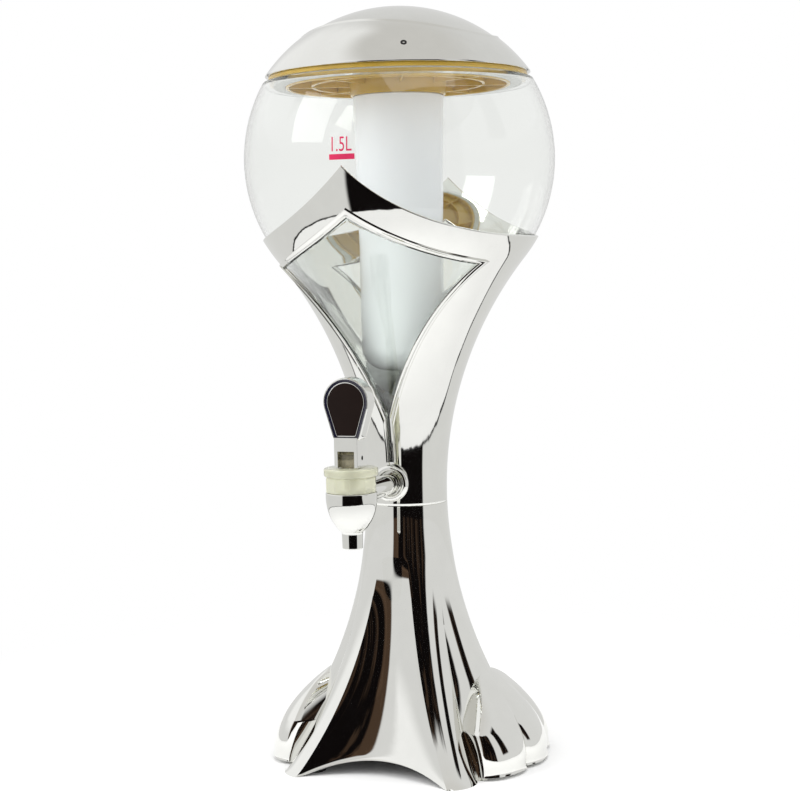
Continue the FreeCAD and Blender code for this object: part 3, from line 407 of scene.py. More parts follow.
def cloudy_finish(name, colour, deep, transmission, roughness, scale=40.0, glow=0.0):
    """Translucent plastic, cloudy inside, with a soft sheen and a faint orange peel."""
    made, finish = material(name)
    cloud = finish.noise(scale, 4, 0.55, bend=0.4)
    peel = finish.noise(1400, 2, 0.5)
    finish.surface(
        Base_Color=finish.mix(cloud.within(0.3, 0.75), deep, colour),
        Roughness=cloud * 0.08 + roughness,
        Transmission_Weight=transmission,
        Subsurface_Weight=glow,
        Subsurface_Radius=(0.004, 0.004, 0.004),
        Subsurface_Scale=1.0,
        ior=1.46,
        Coat_Weight=0.3,
        Coat_Roughness=0.06,
        Normal=finish.bump(peel, 0.08, 0.05))
    return made


def solid_finish(name, colour, roughness, metallic=0.0, grain=1200.0, relief=0.2, coat=0.0, shine=0.5):
    """Moulded, printed or rolled stock with fine grain and slight shade changes."""
    made, finish = material(name)
    shade = finish.noise(90, 4, 0.6)
    fine = finish.noise(grain, 3, 0.6)
    finish.surface(
        Base_Color=finish.mix(shade.within(0.3, 0.8), shaded(colour, 0.85), shaded(colour, 1.08)),
        Metallic=metallic,
        Roughness=fine * 0.12 + roughness,
        Coat_Weight=coat,
        Specular_IOR_Level=shine,
        Normal=finish.bump(fine, relief, 0.05))
    return made


finishes = {}


def make_finishes():
    """Every finish, by the record's slot name or by its own."""
    colours = bpy.context.scene.tower_colours
    chrome = tuple(colours.chrome)
    rough = colours.chrome_roughness
    finishes.update({
        "chrome_plate": chrome_finish("chrome_plate", chrome, rough),
        "lid_chrome": chrome_finish("lid_chrome", shaded(chrome, 0.93), rough, ripple=0.2, dull=0.03),
        "tap_chrome": chrome_finish("tap_chrome", shaded(chrome, 0.98), rough, ripple=0.15),
        "clear_plastic": clear_finish("clear_plastic", tuple(colours.clear)),
        "window_pane": clear_finish("window_pane", tuple(colours.pane), roughness=0.02, ripple=0.3),
        "amber_plastic": cloudy_finish(
            "amber_plastic", tuple(colours.amber), shaded(tuple(colours.amber), 0.82), 0.25, 0.2, glow=0.2),
        "pale_plastic": cloudy_finish(
            "pale_plastic", tuple(colours.pale), shaded(tuple(colours.pale), 0.93), 0.55, 0.12, scale=90, glow=0.1),
        "smoky_plastic": cloudy_finish(
            "smoky_plastic", tuple(colours.smoky), shaded(tuple(colours.smoky), 0.75), 0.6, 0.1, scale=120),
        "milky_plastic": cloudy_finish(
            "milky_plastic", tuple(colours.milky), shaded(tuple(colours.milky), 0.96), 0.0, 0.2, scale=24),
        "dark_label": solid_finish("dark_label", tuple(colours.label), 0.3, grain=2400, relief=0.05, shine=0.12),
        "label_bevel": solid_finish("label_bevel", (0.012, 0.012, 0.03), 0.1, grain=2400, relief=0.05, coat=0.6),
        "print_ink": solid_finish("print_ink", tuple(colours.mark), 0.4, grain=3000, relief=0.1),
        "black_plastic": solid_finish("black_plastic", (0.02, 0.02, 0.021), 0.45, grain=1500, relief=0.35),
        "black_rubber": solid_finish("black_rubber", (0.014, 0.014, 0.014), 0.7, grain=2200, relief=0.4),
        "pale_rubber": solid_finish("pale_rubber", (0.6, 0.6, 0.56), 0.55, grain=2200, relief=0.3),
        "steel": solid_finish("steel", (0.56, 0.57, 0.58), 0.24, metallic=1.0, grain=2600, relief=0.15),
        "white_plastic": solid_finish("white_plastic", (0.78, 0.78, 0.76), 0.35, grain=1500, relief=0.2),
    })


# The tower's outline

# Depths of the globe's two faces below the tower's skin, in millimetres
GLOBE_FACE, GLOBE_INSIDE = 2.1, 4.6


def skin_out(height, depth=0.0):
    """Radius of the tower at a height, a depth below its skin: waist, flare and globe in one profile.

    The flare is an arc whose centre is outside the waist, and it touches the globe's circle.
    """
    s = sizes()
    ball = s["globe_radius"] + GLOBE_FACE
    rise = s["globe_height"] - s["waist_height"]
    flare = (s["waist_radius"] ** 2 + rise ** 2 - ball ** 2) / (2 * (ball - s["waist_radius"]))
    centre = s["waist_radius"] + flare
    meet = s["globe_height"] - rise * (ball - depth) / (ball + flare)
    height = np.asarray(height, float)
    above = np.clip(height - s["waist_height"], 0, None)
    in_flare = centre - np.sqrt(np.clip((flare + depth) ** 2 - above ** 2, 0, None))
    in_globe = np.sqrt(np.clip((ball - depth) ** 2 - (height - s["globe_height"]) ** 2, 0, None))
    return np.where(height < meet, in_flare, in_globe)


def on_skin(across, height, depth=0.0):
    """Point of the front skin at an x and a height: y = -sqrt(radius squared - x squared)."""
    out = skin_out(height, depth)
    return np.stack((across, -np.sqrt(np.clip(out ** 2 - across ** 2, 0, None)), height + 0 * across), -1)


RIM_PEAK, RIM_VALLEY, RIM_OUT, RIM_SWEEP = 345.0, 305.5, 80.0, 133.0
SLOT_HALF, SLOT_FOOT = 1.3, 177.0
WINDOW = ((0, 317.2), (59.5, 290.6), (SLOT_HALF, 205.0))
WINDOW_FRAME = ((0, 322.0), (63.6, 291.8), (SLOT_HALF + 2, 199.0))
TOP_SWEEP, SIDE_SWEEP = 200.0, 183.0


def rim_height(across):
    """Height of the shroud's rim at an x: a hanging arc from the peak to the side, then level."""
    points = np.concatenate(([[0, RIM_PEAK]], arc((0, RIM_PEAK), (RIM_OUT, RIM_VALLEY), RIM_SWEEP, 1, 200)))
    return np.interp(np.abs(across), points[:, 0], points[:, 1])


def kite_top(kite, count):
    """Top edge of a kite from its peak to its corner, (x, z)."""
    return np.concatenate(([kite[0]], arc(kite[0], kite[1], TOP_SWEEP, 1, count - 1)))


def kite_side(kite, count):
    """Side edge of a kite from its corner to the slot, (x, z)."""
    return np.concatenate(([kite[1]], arc(kite[1], kite[2], SIDE_SWEEP, 1, count - 1)))


def kite_half(kite, height):
    """Half width of a kite below its corner, at a height."""
    side = kite_side(kite, 240)[::-1]
    return np.interp(height, side[:, 1], side[:, 0])


def four_ways(form, spots):
    """Adds a quarter's grid and its three mirror images."""
    for x, y in ((1, 1), (-1, 1), (1, -1), (-1, -1)):
        form.grid(spots * (x, y, 1))


def shroud_form():
    """The waisted skin, one quarter at a time.

    Below the windows' corners, row heights run from the seam to the corner and columns from the window's edge
    round to the side. Above, columns rise from the window's top edge to the rim.
    """
    s = sizes()
    form = Form()
    corner_x, corner_z = WINDOW[1]
    corner_turn = math.asin(corner_x / float(skin_out(corner_z)))
    along = np.linspace(0, 1, 70)
    low = np.concatenate((
        np.linspace(s["seam_height"], SLOT_FOOT, 16)[:-1], np.linspace(SLOT_FOOT, corner_z, 90)))[:, None]
    edge = np.arcsin(kite_half(WINDOW, low) / skin_out(low))
    angle = edge + (np.pi / 2 - edge) * along
    out = skin_out(low)
    four_ways(form, np.stack((out * np.sin(angle), -out * np.cos(angle), low + 0 * angle), -1))
    below = low[:16]
    strip = np.linspace(0, 1, 4) * SLOT_HALF
    four_ways(form, on_skin(strip + 0 * below, below + 0 * strip))
    top = kite_top(WINDOW, 60)
    over = np.arcsin(top[:, 0] / skin_out(top[:, 1]))
    angle = np.concatenate((over[:-1], corner_turn + (np.pi / 2 - corner_turn) * along))
    foot = np.concatenate((top[:-1, 1], np.full(len(along), corner_z)))
    head = np.full(len(angle), RIM_VALLEY)
    for _ in range(60):
        head = rim_height(skin_out(head) * np.sin(angle))
    up = np.linspace(0, 1, 40)[:, None]
    height = foot + (head - foot) * up
    out = skin_out(height)
    four_ways(form, np.stack((out * np.sin(angle), -out * np.cos(angle), height), -1))
    return form


def window_frame_form():
    """Raised frame round each window: from the window's edge to the frame's, a rounded band over the skin.

    Across the band the height is the frame's height times a rounded step, with the wall's inner edge first.
    """
    s = sizes()
    form = Form()
    proud = s["frame_proud"]
    tops = [kite_top(kite, 70) for kite in (WINDOW, WINDOW_FRAME)]
    sides = [kite_side(kite, 110) for kite in (WINDOW, WINDOW_FRAME)]
    slots = [np.stack((np.full(20, kite[2][0]), np.linspace(kite[2][1], SLOT_FOOT, 20)), 1)
             for kite in (WINDOW, WINDOW_FRAME)]
    inner, outer = (np.concatenate((tops[i], sides[i][1:], slots[i][1:])) for i in (0, 1))
    across = np.array((0, 0, 0.06, 0.16, 0.34, 0.55, 0.75, 0.9, 0.97, 1, 1))[:, None]
    lift = np.array((-1.7, 0.15 * proud, 0.5 * proud, 0.62 * proud, 0.5 * proud, 0.62 * proud, proud, proud,
                     0.8 * proud, 0.4 * proud, -0.5))[:, None]
    x = inner[:, 0] + (outer[:, 0] - inner[:, 0]) * across
    z = inner[:, 1] + (outer[:, 1] - inner[:, 1]) * across
    spots = on_skin(x, z, -lift)
    four_ways(form, spots)
    return form


# The pedestal


def trumpet(height):
    """Radius of the pedestal's main flare: one arc that leaves the waist upright."""
    s = sizes()
    drop = s["waist_height"] - height
    return s["waist_radius"] + s["foot_flare"] - np.sqrt(s["foot_flare"] ** 2 - drop ** 2)


def fading(height, top, power=1.5):
    """1 at the table and 0 from a height upwards."""
    return np.clip(1 - height / top, 0, None) ** power


def around_three(first, middle, last, steps):
    """Points on the circles through three points, for many heights at once: centre from equal distances."""
    ax, ay = first
    bx, by = middle
    cx, cy = last
    twice = 2 * (ax * (by - cy) + bx * (cy - ay) + cx * (ay - by))
    a2, b2, c2 = ax ** 2 + ay ** 2, bx ** 2 + by ** 2, cx ** 2 + cy ** 2
    ux = (a2 * (by - cy) + b2 * (cy - ay) + c2 * (ay - by)) / twice
    uy = (a2 * (cx - bx) + b2 * (ax - cx) + c2 * (bx - ax)) / twice
    start = np.arctan2(ay - uy, ax - ux)
    sweep = (np.arctan2(cy - uy, cx - ux) - start + np.pi) % (2 * np.pi) - np.pi
    angle = start[..., None] + sweep[..., None] * steps
    radius = np.hypot(ax - ux, ay - uy)[..., None]
    return ux[..., None] + radius * np.cos(angle), uy[..., None] + radius * np.sin(angle)


def polar(radius, degrees):
    """(x, y) at an azimuth from the tap's side."""
    angle = np.radians(degrees)
    return radius * np.sin(angle), -radius * np.cos(angle)


FOOT_STEPS, PANEL_STEPS, SIDE_STEPS = 14, 22, 22


def quarter_section(height):
    """One quarter of the section at each height: half the hollow panel, a foot, and half the side."""
    s = sizes()
    wide = trumpet(height)
    upper = np.clip(height / 120, 0, 1)
    ridge, dip = 33 - 13 * upper, 49 + 11 * upper
    panel = wide - s["panel_depth"] * fading(height, 122, 1.1)
    hollow = wide - s["valley_depth"] * fading(height, 122, 1.1)
    side = wide - s["valley_depth"] * fading(height, 52)
    ridge_spot, dip_spot = polar(wide, ridge), polar(hollow, dip)
    left_ridge = (-ridge_spot[0], ridge_spot[1])
    panel_x, panel_y = around_three(
        left_ridge, polar(panel, 0 * wide), ridge_spot, np.linspace(0.5, 1, PANEL_STEPS))
    foot_x, foot_y = around_three(
        ridge_spot, polar(wide, (ridge + dip) / 2), dip_spot, np.linspace(0, 1, FOOT_STEPS))
    back_dip = (dip_spot[0], -dip_spot[1])
    side_x, side_y = around_three(dip_spot, polar(side, 90 + 0 * wide), back_dip, np.linspace(0, 0.5, SIDE_STEPS))
    x = np.concatenate((panel_x, foot_x[..., 1:], side_x[..., 1:]), -1)
    y = np.concatenate((panel_y, foot_y[..., 1:], side_y[..., 1:]), -1)
    return x, y


def arch(across):
    """Height of the pedestal's lower edge at an x: a low arch between the feet."""
    s = sizes()
    half = 44.0
    radius = (half ** 2 + s["arch_height"] ** 2) / (2 * s["arch_height"])
    inside = np.clip(radius ** 2 - across ** 2, 0, None)
    return np.clip(s["arch_height"] - radius + np.sqrt(inside), 0, None)


def section_at(heights):
    """(x, y) of each column at its own height, interpolated between sections 0.5 mm apart."""
    levels = np.arange(-1, 152.6, 0.5)
    x, y = quarter_section(levels)
    place = np.clip((heights + 1) / 0.5, 0, len(levels) - 1.001)
    low = place.astype(int)
    part = place - low
    column = np.arange(x.shape[1])[None, :]
    return [v[low, column] * (1 - part) + v[low + 1, column] * part for v in (x, y)]


def pedestal_form():
    """The fluted pedestal: rows from the arched edge to the seam, a rolled lip below and a wall inside.

    Near the lower edge the skin turns out by 1.1 mm times exp(-distance / 1.5 mm).
    """
    s = sizes()
    form = Form()
    seam = s["seam_height"]
    edge = np.zeros((1, PANEL_STEPS + FOOT_STEPS + SIDE_STEPS - 2))
    for _ in range(12):
        edge = arch(section_at(edge)[0])
    climb = np.concatenate((np.linspace(0, 6, 16)[:-1] / 150, np.linspace(0.04, 1, 110)))[:, None]
    height = edge + (seam - edge) * climb
    x, y = section_at(height)
    out = np.hypot(x, y)
    lip = 1.1 * np.exp(-(height - edge) / 1.5)
    grow = 1 + lip / out
    outer = np.stack((x * grow, y * grow, height), -1)
    top = outer[-1:] * (1, 1, 0)
    ledge = top * (1 - 8 / np.hypot(top[..., 0], top[..., 1]))[..., None] + (0, 0, seam)
    wall = outer[::-1][6:]
    shrink = 1 - 2.6 / np.hypot(wall[..., 0], wall[..., 1])
    inner = np.concatenate((wall[..., :2] * shrink[..., None], wall[..., 2:]), -1)
    ceiling = inner[:1] * (0.5, 0.5, 1)
    tip = (outer[:1] + inner[-1:]) / 2 - (0, 0, 0.5)
    tip[..., 2] = np.clip(tip[..., 2], 0.02, None)
    four_ways(form, np.concatenate((tip, outer, ledge, ceiling, inner, tip)))
    return form


def lobe_form(side):
    """One three-toed lobe: u across the toes, v up its back; creases between toes fade out upwards.

    Out at (u, v) is the lobe's back, root + (reach - root)(1 - v^1.8), less the notch times (1 - bulge),
    where bulge = 1 - |t|^3.2 over each toe's own t from -1 to 1.
    """
    s = sizes()
    form = Form()
    top, shoulder, half_spread = 52.0, 8.0, 38.0
    rise = np.concatenate((
        np.linspace(0, 5, 12)[:-1], np.linspace(5, 50, 70), top - np.array((1.4, 0.9, 0.5, 0.2, 0))))
    height = (2 + rise * (top - 2) / top)[:, None]
    root = trumpet(top) - 1.2
    climb = np.clip((height - shoulder) / (top - shoulder), 0, 1)
    spread = half_spread * np.clip((top - height) / 27, 0.0001, 1) ** (1 / 3)
    out = root + (s["toe_reach"] - root) * (1 - climb ** 1.8)
    toes = [(-half_spread, -13.0), (-13.0, 13.0), (13.0, half_spread)]
    steps = 26
    local = np.concatenate([np.linspace(-1, 1, steps)[:-1] for _ in toes] + [[1]])
    turn_by = np.concatenate([np.linspace(a, b, steps)[:-1] for a, b in toes] + [[half_spread]]) / half_spread
    bulge = 1 - np.abs(local) ** 3.2
    notch = s["toe_notch"] * np.clip(1 - height / 44, 0, 1) ** 0.8
    curve = notch * (1 - bulge)
    tip = 0.8 * np.exp(-(height - 2) / 1.3)
    radius = out - curve + tip
    angle = np.radians(90 + turn_by * spread)
    sides = np.array((0.45, 0.8, 0.93, 0.975, 0.993))
    turned_on = np.radians((1.6, 1.6, 1.5, 1.2, 0.6)) * np.clip(spread / half_spread, 0, 1)
    radius = np.concatenate((radius[:, :1] * sides, radius, radius[:, -1:] * sides[::-1]), 1)
    angle = np.concatenate((angle[:, :1] - turned_on, angle, angle[:, -1:] + turned_on[:, ::-1]), 1)
    spots = np.stack((side * radius * np.sin(angle), -radius * np.cos(angle), height + 0 * angle), -1)
    inward = spots * (1, 1, 0) * (1 - 9 / radius)[..., None] + (0, 0, 1) * spots[..., 2:]
    foot = spots[:1] * (0.985, 0.985, 1) + (0, 0, -0.6)
    form.grid(np.concatenate((inward[:1], foot, spots)))
    return form


# Operators, one for each piece or group of like pieces


class TOWER_OT_finishes(bpy.types.Operator):
    """Make every finish and dress the carried-over nodes"""

    bl_idname = "tower.finishes"
    bl_label = "Finishes"
    bl_options = {"REGISTER", "UNDO"}

    def execute(self, context):
        make_finishes()
        slots = {part["node"]: part["material_slot"] for part in frame["record"]["subparts"]}
        for name, node in frame["nodes"].items():
            for held in node.material_slots:
                held.material = finishes[slots[name]]
        return {"FINISHED"}


class TOWER_OT_pedestal(bpy.types.Operator):
    """The fluted pedestal with its side lobes"""

    bl_idname = "tower.pedestal"
    bl_label = "Pedestal"
    bl_options = {"REGISTER", "UNDO"}

    def execute(self, context):
        place_piece("pedestal", pedestal_form(), "tower", finishes["chrome_plate"], ["base_shell"])
        for name, side in (("right_lobe", 1), ("left_lobe", -1)):
            place_piece(name, lobe_form(side), "tower", finishes["chrome_plate"], ["base_shell"])
        return {"FINISHED"}


class TOWER_OT_shroud(bpy.types.Operator):
    """The waisted skin with its swept rim and framed windows"""

    bl_idname = "tower.shroud"
    bl_label = "Shroud"
    bl_options = {"REGISTER", "UNDO"}

    def execute(self, context):
        chrome = finishes["chrome_plate"]
        skin = place_piece("shroud_skin", shroud_form(), "tower", chrome, ["shroud"])
        wall = skin.modifiers.new("wall", "SOLIDIFY")
        wall.thickness = 1.7 * MM
        wall.offset = -1
        place_piece("window_frames", window_frame_form(), "tower", chrome, ["shroud"])
        return {"FINISHED"}


class TOWER_OT_container(bpy.types.Operator):
    """The clear globe with its funnel, and the panes in the windows"""

    bl_idname = "tower.container"
    bl_label = "Container"
    bl_options = {"REGISTER", "UNDO"}

    def execute(self, context):
        s = sizes()
        heights = np.concatenate((np.linspace(158, 300, 70), np.linspace(303, 397, 60)))
        outside = np.stack((skin_out(heights, GLOBE_FACE), heights), 1)
        inner_heights = np.linspace(394.5, 158, 120)
        inside = np.stack((skin_out(inner_heights, GLOBE_INSIDE), inner_heights), 1)
        points = np.concatenate(([(0, 154.3), (19.3, 154.3)], outside, [(66, 397), (66, 394.5)], inside, [(0, 158)]))
        form = Form().grid(turned(points, 200), round_columns=True)
        place_piece("clear_globe", form, "tower", finishes["clear_plastic"], ["container"])
        panes = Form()
        bottom, top = SLOT_FOOT + 0.4, WINDOW[0][1] - 0.5
        corner = WINDOW[1][1]
        height = np.concatenate((np.linspace(bottom, corner, 90), np.linspace(corner, top, 30)[1:]))[:, None]
        top_edge = kite_top(WINDOW, 200)[::-1]
        half = np.where(height < corner, kite_half(WINDOW, height), np.interp(height, top_edge[:, 1], top_edge[:, 0]))
        half = np.clip(half - 0.35, 0.02, None)
        across = np.linspace(-1, 1, 60)
        bevel = np.clip((1 - np.abs(across)) * half / 1.4, 0, 1)
        face = on_skin(half * across, height + 0 * across, 0.25 + 0.8 * (1 - bevel))
        back = on_skin(half * across, height + 0 * across, 2.02)
        shell = np.concatenate((face, back[:, ::-1]), 1)
        for way in (1, -1):
            panes.grid(shell * (1, way, 1), round_columns=True)
        place_piece("window_panes", panes, "tower", finishes["window_pane"], ["container"])
        return {"FINISHED"}


class TOWER_OT_lid(bpy.types.Operator):
    """The domed lid with its oval step and the amber liner"""

    bl_idname = "tower.lid"
    bl_label = "Lid"
    bl_options = {"REGISTER", "UNDO"}

    def execute(self, context):
        s = sizes()
        centre, cap, rim = 346.0, 94.0, 400.6
        angle = np.linspace(0, 2 * np.pi, 240, endpoint=False)
        oval = np.radians(12)
        long, short = 60.0, 48.0
        ex, ey = short * np.cos(angle), long * np.sin(angle)
        oval_x = -ex * math.sin(oval) + ey * math.cos(oval)
        oval_y = -(ex * math.cos(oval) + ey * math.sin(oval))
        skirt = cap + s["lid_step"]

        def at(x, y, ball):
            return np.stack((x, y, centre + np.sqrt(ball ** 2 - x ** 2 - y ** 2)), -1)

        inner = np.linspace(0.001, 1, 46)[:, None]
        rows = [at(oval_x * inner, oval_y * inner, cap)]
        lip = np.array((1.004, 1.009, 1.014, 1.022, 1.032))[:, None]
        bead = np.array((-0.15, 0.18, 0.34, 0.34, 0.12))[:, None]
        rows.append(at(oval_x * lip, oval_y * lip, skirt + bead))
        reach = math.sqrt(skirt ** 2 - (rim + 0.8 - centre) ** 2)
        start = np.arctan2(oval_y, oval_x)
        circle_x, circle_y = reach * np.cos(start), reach * np.sin(start)
        blend = np.linspace(0, 1, 50)[1:, None]
        wide_x, wide_y = oval_x * 1.038, oval_y * 1.038
        rows.append(at(wide_x + (circle_x - wide_x) * blend, wide_y + (circle_y - wide_y) * blend, skirt))
        for out, up in ((reach + 0.1, rim + 0.3), (reach - 0.5, rim), (reach - 2.2, rim), (reach - 2.6, rim + 1.4)):
            rows.append(np.stack((circle_x * out / reach, circle_y * out / reach, 0 * circle_x + up), -1)[None])
        form = Form().grid(np.concatenate(rows), round_columns=True)
        place_piece("lid_shell", form, "lid", finishes["lid_chrome"], ["lid_dome"])
        liner = Form()
        liner.turned([
            (25.6, 400.0), (25.6, 389.4), (26.2, 389), (27.4, 389), (27.8, 389.4), (28.4, 397.6), (29.4, 398.4),
            (48.4, 398.4), (48.8, 397.8), (48.8, 395.2), (49.2, 394.8), (50.4, 394.8), (50.8, 395.2), (50.8, 397.8),
            (51.3, 398.4), (63.2, 398.4), (63.5, 398), (63.5, 394.4), (64, 394), (65, 394), (65.5, 394.4),
            (65.5, 398.4), (74.9, 398.4), (75.3, 398.8), (75.3, 400.3), (75, 400.6), (26, 400.6)], 200)
        for index in range(8):
            way = 2 * math.pi * (index + 0.5) / 8
            ends = np.array(((-0.7, 398.6), (-0.6, 394.5), (0.6, 394.5), (0.7, 398.6)))
            out = np.array((27.6, 64.2))[:, None]
            spots = np.stack((out + 0 * ends[:, 0], 0 * out + ends[:, 0], 0 * out + ends[:, 1]), -1)
            turning = np.array(((math.cos(way), -math.sin(way), 0), (math.sin(way), math.cos(way), 0), (0, 0, 1)))
            liner.capped(spots @ turning.T)
        place_piece("amber_liner", liner, "lid", finishes["amber_plastic"], ["lid_liner"])
        return {"FINISHED"}


class TOWER_OT_ice_tube(bpy.types.Operator):
    """The long milky tube for ice"""

    bl_idname = "tower.ice_tube"
    bl_label = "Ice tube"
    bl_options = {"REGISTER", "UNDO"}

    def execute(self, context):
        form = Form().turned([
            (0, 230), (10.5, 230), (24.5, 244, 14, 1), (24.5, 300), (26.4, 388.4), (26, 388.9), (25.5, 388.9),
            (25.5, 398.2), (22.4, 398.2), (22.4, 386), (22.3, 300), (22.3, 244), (10.5, 232.2, 11.8, -1),
            (0, 232.2)], 160)
        place_piece("milky_tube", form, "ice_tube", finishes["milky_plastic"], ["ice_tube"])
        return {"FINISHED"}


class TOWER_OT_tap(bpy.types.Operator):
    """The tap's cup, shank, flange and collar"""

    bl_idname = "tower.tap"
    bl_label = "Tap"
    bl_options = {"REGISTER", "UNDO"}

    def execute(self, context):
        front = (0, -sizes()["tap_reach"])
        chrome = finishes["tap_chrome"]
        cup = Form().turned([
            (3.9, 137.3), (4.2, 137), (5.2, 137), (5.6, 137.4), (5.62, 138), (5.78, 145), (5.8, 145.6),
            (6.1, 146.2), (9.6, 150.4, 17, 1), (12.6, 156.4, 19, 1), (14.1, 165.6, 32, 1), (14.1, 166.6),
            (14.1, 167.8), (13.8, 168.2), (10.6, 168.2), (10.6, 160), (7, 152.5), (3.6, 152.5)],
            128, front, 0.8)
        cup.lying([(3.2, 27.4), (6, 27.4), (6, 75.5), (3.2, 75.5)], 165)
        cup.lying([(3.2, 10), (5, 10), (5, 27.6), (3.2, 27.6)], 165)
        place_piece("tap_cup", cup, "tower", chrome, ["tap_body"], edge=0.15)
        flange = Form().lying([
            (5.2, 25.3), (9.8, 25.3), (10.8, 26.3), (10.6, 27.9), (9.9, 28.9), (8.8, 29.5), (8.0, 29.3), (7.3, 28.2),
            (6.6, 27.6), (6.1, 28), (6.1, 27.4), (5.2, 27.4)], 165)
        place_piece("tap_ring", flange, "tower", chrome, ["tap_flange"], crease=50)
        collar = Form()
        angle = np.linspace(0, 2 * np.pi, 160, endpoint=False)
        flat = math.cos(math.pi / 10) / np.cos((angle + np.pi / 10) % (np.pi / 5) - np.pi / 10)
        band = 14.1 * (0.12 + 0.88 * flat)
        levels = [(0.93, 168.35), (0.985, 168.35), (1, 168.7), (1, 176.2), (0.975, 176.7)]
        rings = [np.stack((band * k * np.sin(angle), front[1] - band * k * np.cos(angle), 0 * angle + z), -1)
                 for k, z in levels]
        for out, z in ((13.9, 176.9), (14.7, 177.4), (14.9, 178), (14.9, 180.8), (14.6, 181.4), (14, 181.6),
                       (3.35, 181.6), (3.35, 170.5), (8.4, 170.5), (8.4, 168.35)):
            rings.append(np.stack((out * np.sin(angle), front[1] - out * np.cos(angle), 0 * angle + z), -1))
        collar.grid(np.stack(rings), round_rows=True, round_columns=True)
        place_piece("pale_collar", collar, "tower", finishes["pale_plastic"], ["tap_collar"], edge=0.15)
        spring = frame["nodes"]["return_spring"]
        front[1] * MM
        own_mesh(spring)
        return {"FINISHED"}


def balloon(inset, count=36):
    """Outline (x, z) of the paddle at an inset, with the same number of points at any inset.

    A round head, and straight sides that touch it and run to a narrow foot with small round corners.
    """
    s = sizes()
    centre, foot, corner = 217.8, 196.6, 2.2
    round_radius, out, low = s["paddle_radius"] - inset, 7.5 - inset * 0.8, foot + inset
    down = centre - low
    slant = out ** 2 + down ** 2
    along = math.sqrt(slant - round_radius ** 2)
    touch = ((round_radius ** 2 * out + round_radius * along * down) / slant,
             centre + (round_radius * along * out - round_radius ** 2 * down) / slant)
    corner = max(corner - inset * 0.5, 0.6)
    side = np.array(touch) - (out, low)
    side = side / np.hypot(*side)
    near = np.array((out, low)) + side * corner
    bend = np.array([
        (1 - t) ** 2 * np.array((out - corner, low)) + 2 * t * (1 - t) * np.array((out, low)) + t * t * near
        for t in np.linspace(0, 1, 7)])
    run = near + (np.array(touch) - near) * np.linspace(0, 1, 14)[1:, None]
    head = arc(touch, (0, centre + round_radius), round_radius, 1, count)
    right = np.concatenate(([(0, low)], bend, run, head))
    left = right[1:-1][::-1] * (-1, 1)
    return np.concatenate((right, left))


def paddle_form(layers):
    """Closed form through outlines of the paddle, each at an inset and a y."""
    return Form().capped(np.stack([np.insert(balloon(inset), 1, y, axis=1) for inset, y in layers]))


class TOWER_OT_lever(bpy.types.Operator):
    """The lever's paddle and fork and its bare label"""

    bl_idname = "tower.lever"
    bl_label = "Lever"
    bl_options = {"REGISTER", "UNDO"}

    def execute(self, context):
        s = sizes()
        face, back = -s["tap_reach"] - 6, -s["tap_reach"] + 6
        form = paddle_form([
            (3.2, back), (1.6, back - 0.25), (0.5, back - 1), (0.05, back - 2), (0, back - 3.5),
            (0, face + 1.6), (0.08, face + 0.8), (0.3, face + 0.25), (0.6, face), (0.8, face + 0.05),
            (0.95, face + 0.3), (1.1, face + 1.15)])
        fork = [(-6.75, 182), (-4.75, 182), (-4.75, 191), (4.75, 191), (4.75, 182), (6.75, 182), (6.75, 198.5),
                (-6.75, 198.5)]
        form.prism(np.array(fork, float), -s["tap_reach"] - 7, -s["tap_reach"] + 7)
        place_piece("lever_body", form, "lever", finishes["tap_chrome"], ["lever"], edge=0.5)
        trim = paddle_form([
            (3.0, face + 0.75), (2.5, face + 0.75), (1.1, face + 0.35), (0.98, face + 0.42), (0.98, face + 1.12),
            (3.0, face + 1.12)])
        place_piece("label_edge", trim, "lever", finishes["label_bevel"], ["lever_label"])
        line = paddle_form([
            (3.0, face + 0.6), (2.75, face + 0.34), (2.6, face + 0.3), (2.45, face + 0.34), (2.35, face + 0.6),
            (2.35, face + 0.9), (3.0, face + 0.9)])
        place_piece("label_line", line, "lever", finishes["tap_chrome"], ["lever_label"])
        plate = paddle_form([
            (3.4, face + 0.42), (2.9, face + 0.45), (2.8, face + 0.55), (2.8, face + 0.8), (3.4, face + 0.8)])
        place_piece("label_face", plate, "lever", finishes["dark_label"], ["lever_label"])
        return {"FINISHED"}


class TOWER_OT_level_mark(bpy.types.Operator):
    """The printed volume mark on the globe"""

    bl_idname = "tower.level_mark"
    bl_label = "Level mark"
    bl_options = {"REGISTER", "UNDO"}

    def execute(self, context):
        s = sizes()
        curve = bpy.data.curves.new("level_text", "FONT")
        curve.body = "1.5L"
        curve.size = 1.0
        curve.resolution_u = 6
        text = bpy.data.objects.new("level_text", curve)
        mesh = bpy.data.meshes.new_from_object(text)
        bpy.data.objects.remove(text)
        count = len(mesh.vertices)
        flat = np.empty(count * 3)
        mesh.vertices.foreach_get("co", flat)
        flat = flat.reshape(-1, 3)
        flat -= flat.min(0)
        flat /= flat.max(0).clip(1e-6)
        ink = 0.06
        x = (flat[:, 0] - 0.5) * 11.6
        z = 352.6 + flat[:, 1] * 7.8
        out = skin_out(z, GLOBE_FACE) + ink
        spots = np.stack((out * np.sin(x / out), -out * np.cos(x / out), z), -1)
        mesh.vertices.foreach_set("co", (spots * MM).ravel())
        place_piece("level_text", mesh, "tower", finishes["print_ink"])
        x = np.linspace(-7.35, 7.35, 24)
        z = np.linspace(348.2, 351.2, 5)[:, None]
        out = skin_out(z, GLOBE_FACE) + ink
        bar = Form().grid(np.stack((out * np.sin(x / out), -out * np.cos(x / out), z + 0 * x), -1))
        place_piece("level_bar", bar, "tower", finishes["print_ink"])
        return {"FINISHED"}


# Azimuths, in degrees, over which the studio's dark side begins and ends, and its deepest colour
DARK_START, DARK_END = (-20, -17), (64, 68)
NEAR_BLACK = (0.004, 0.003, 0.003)


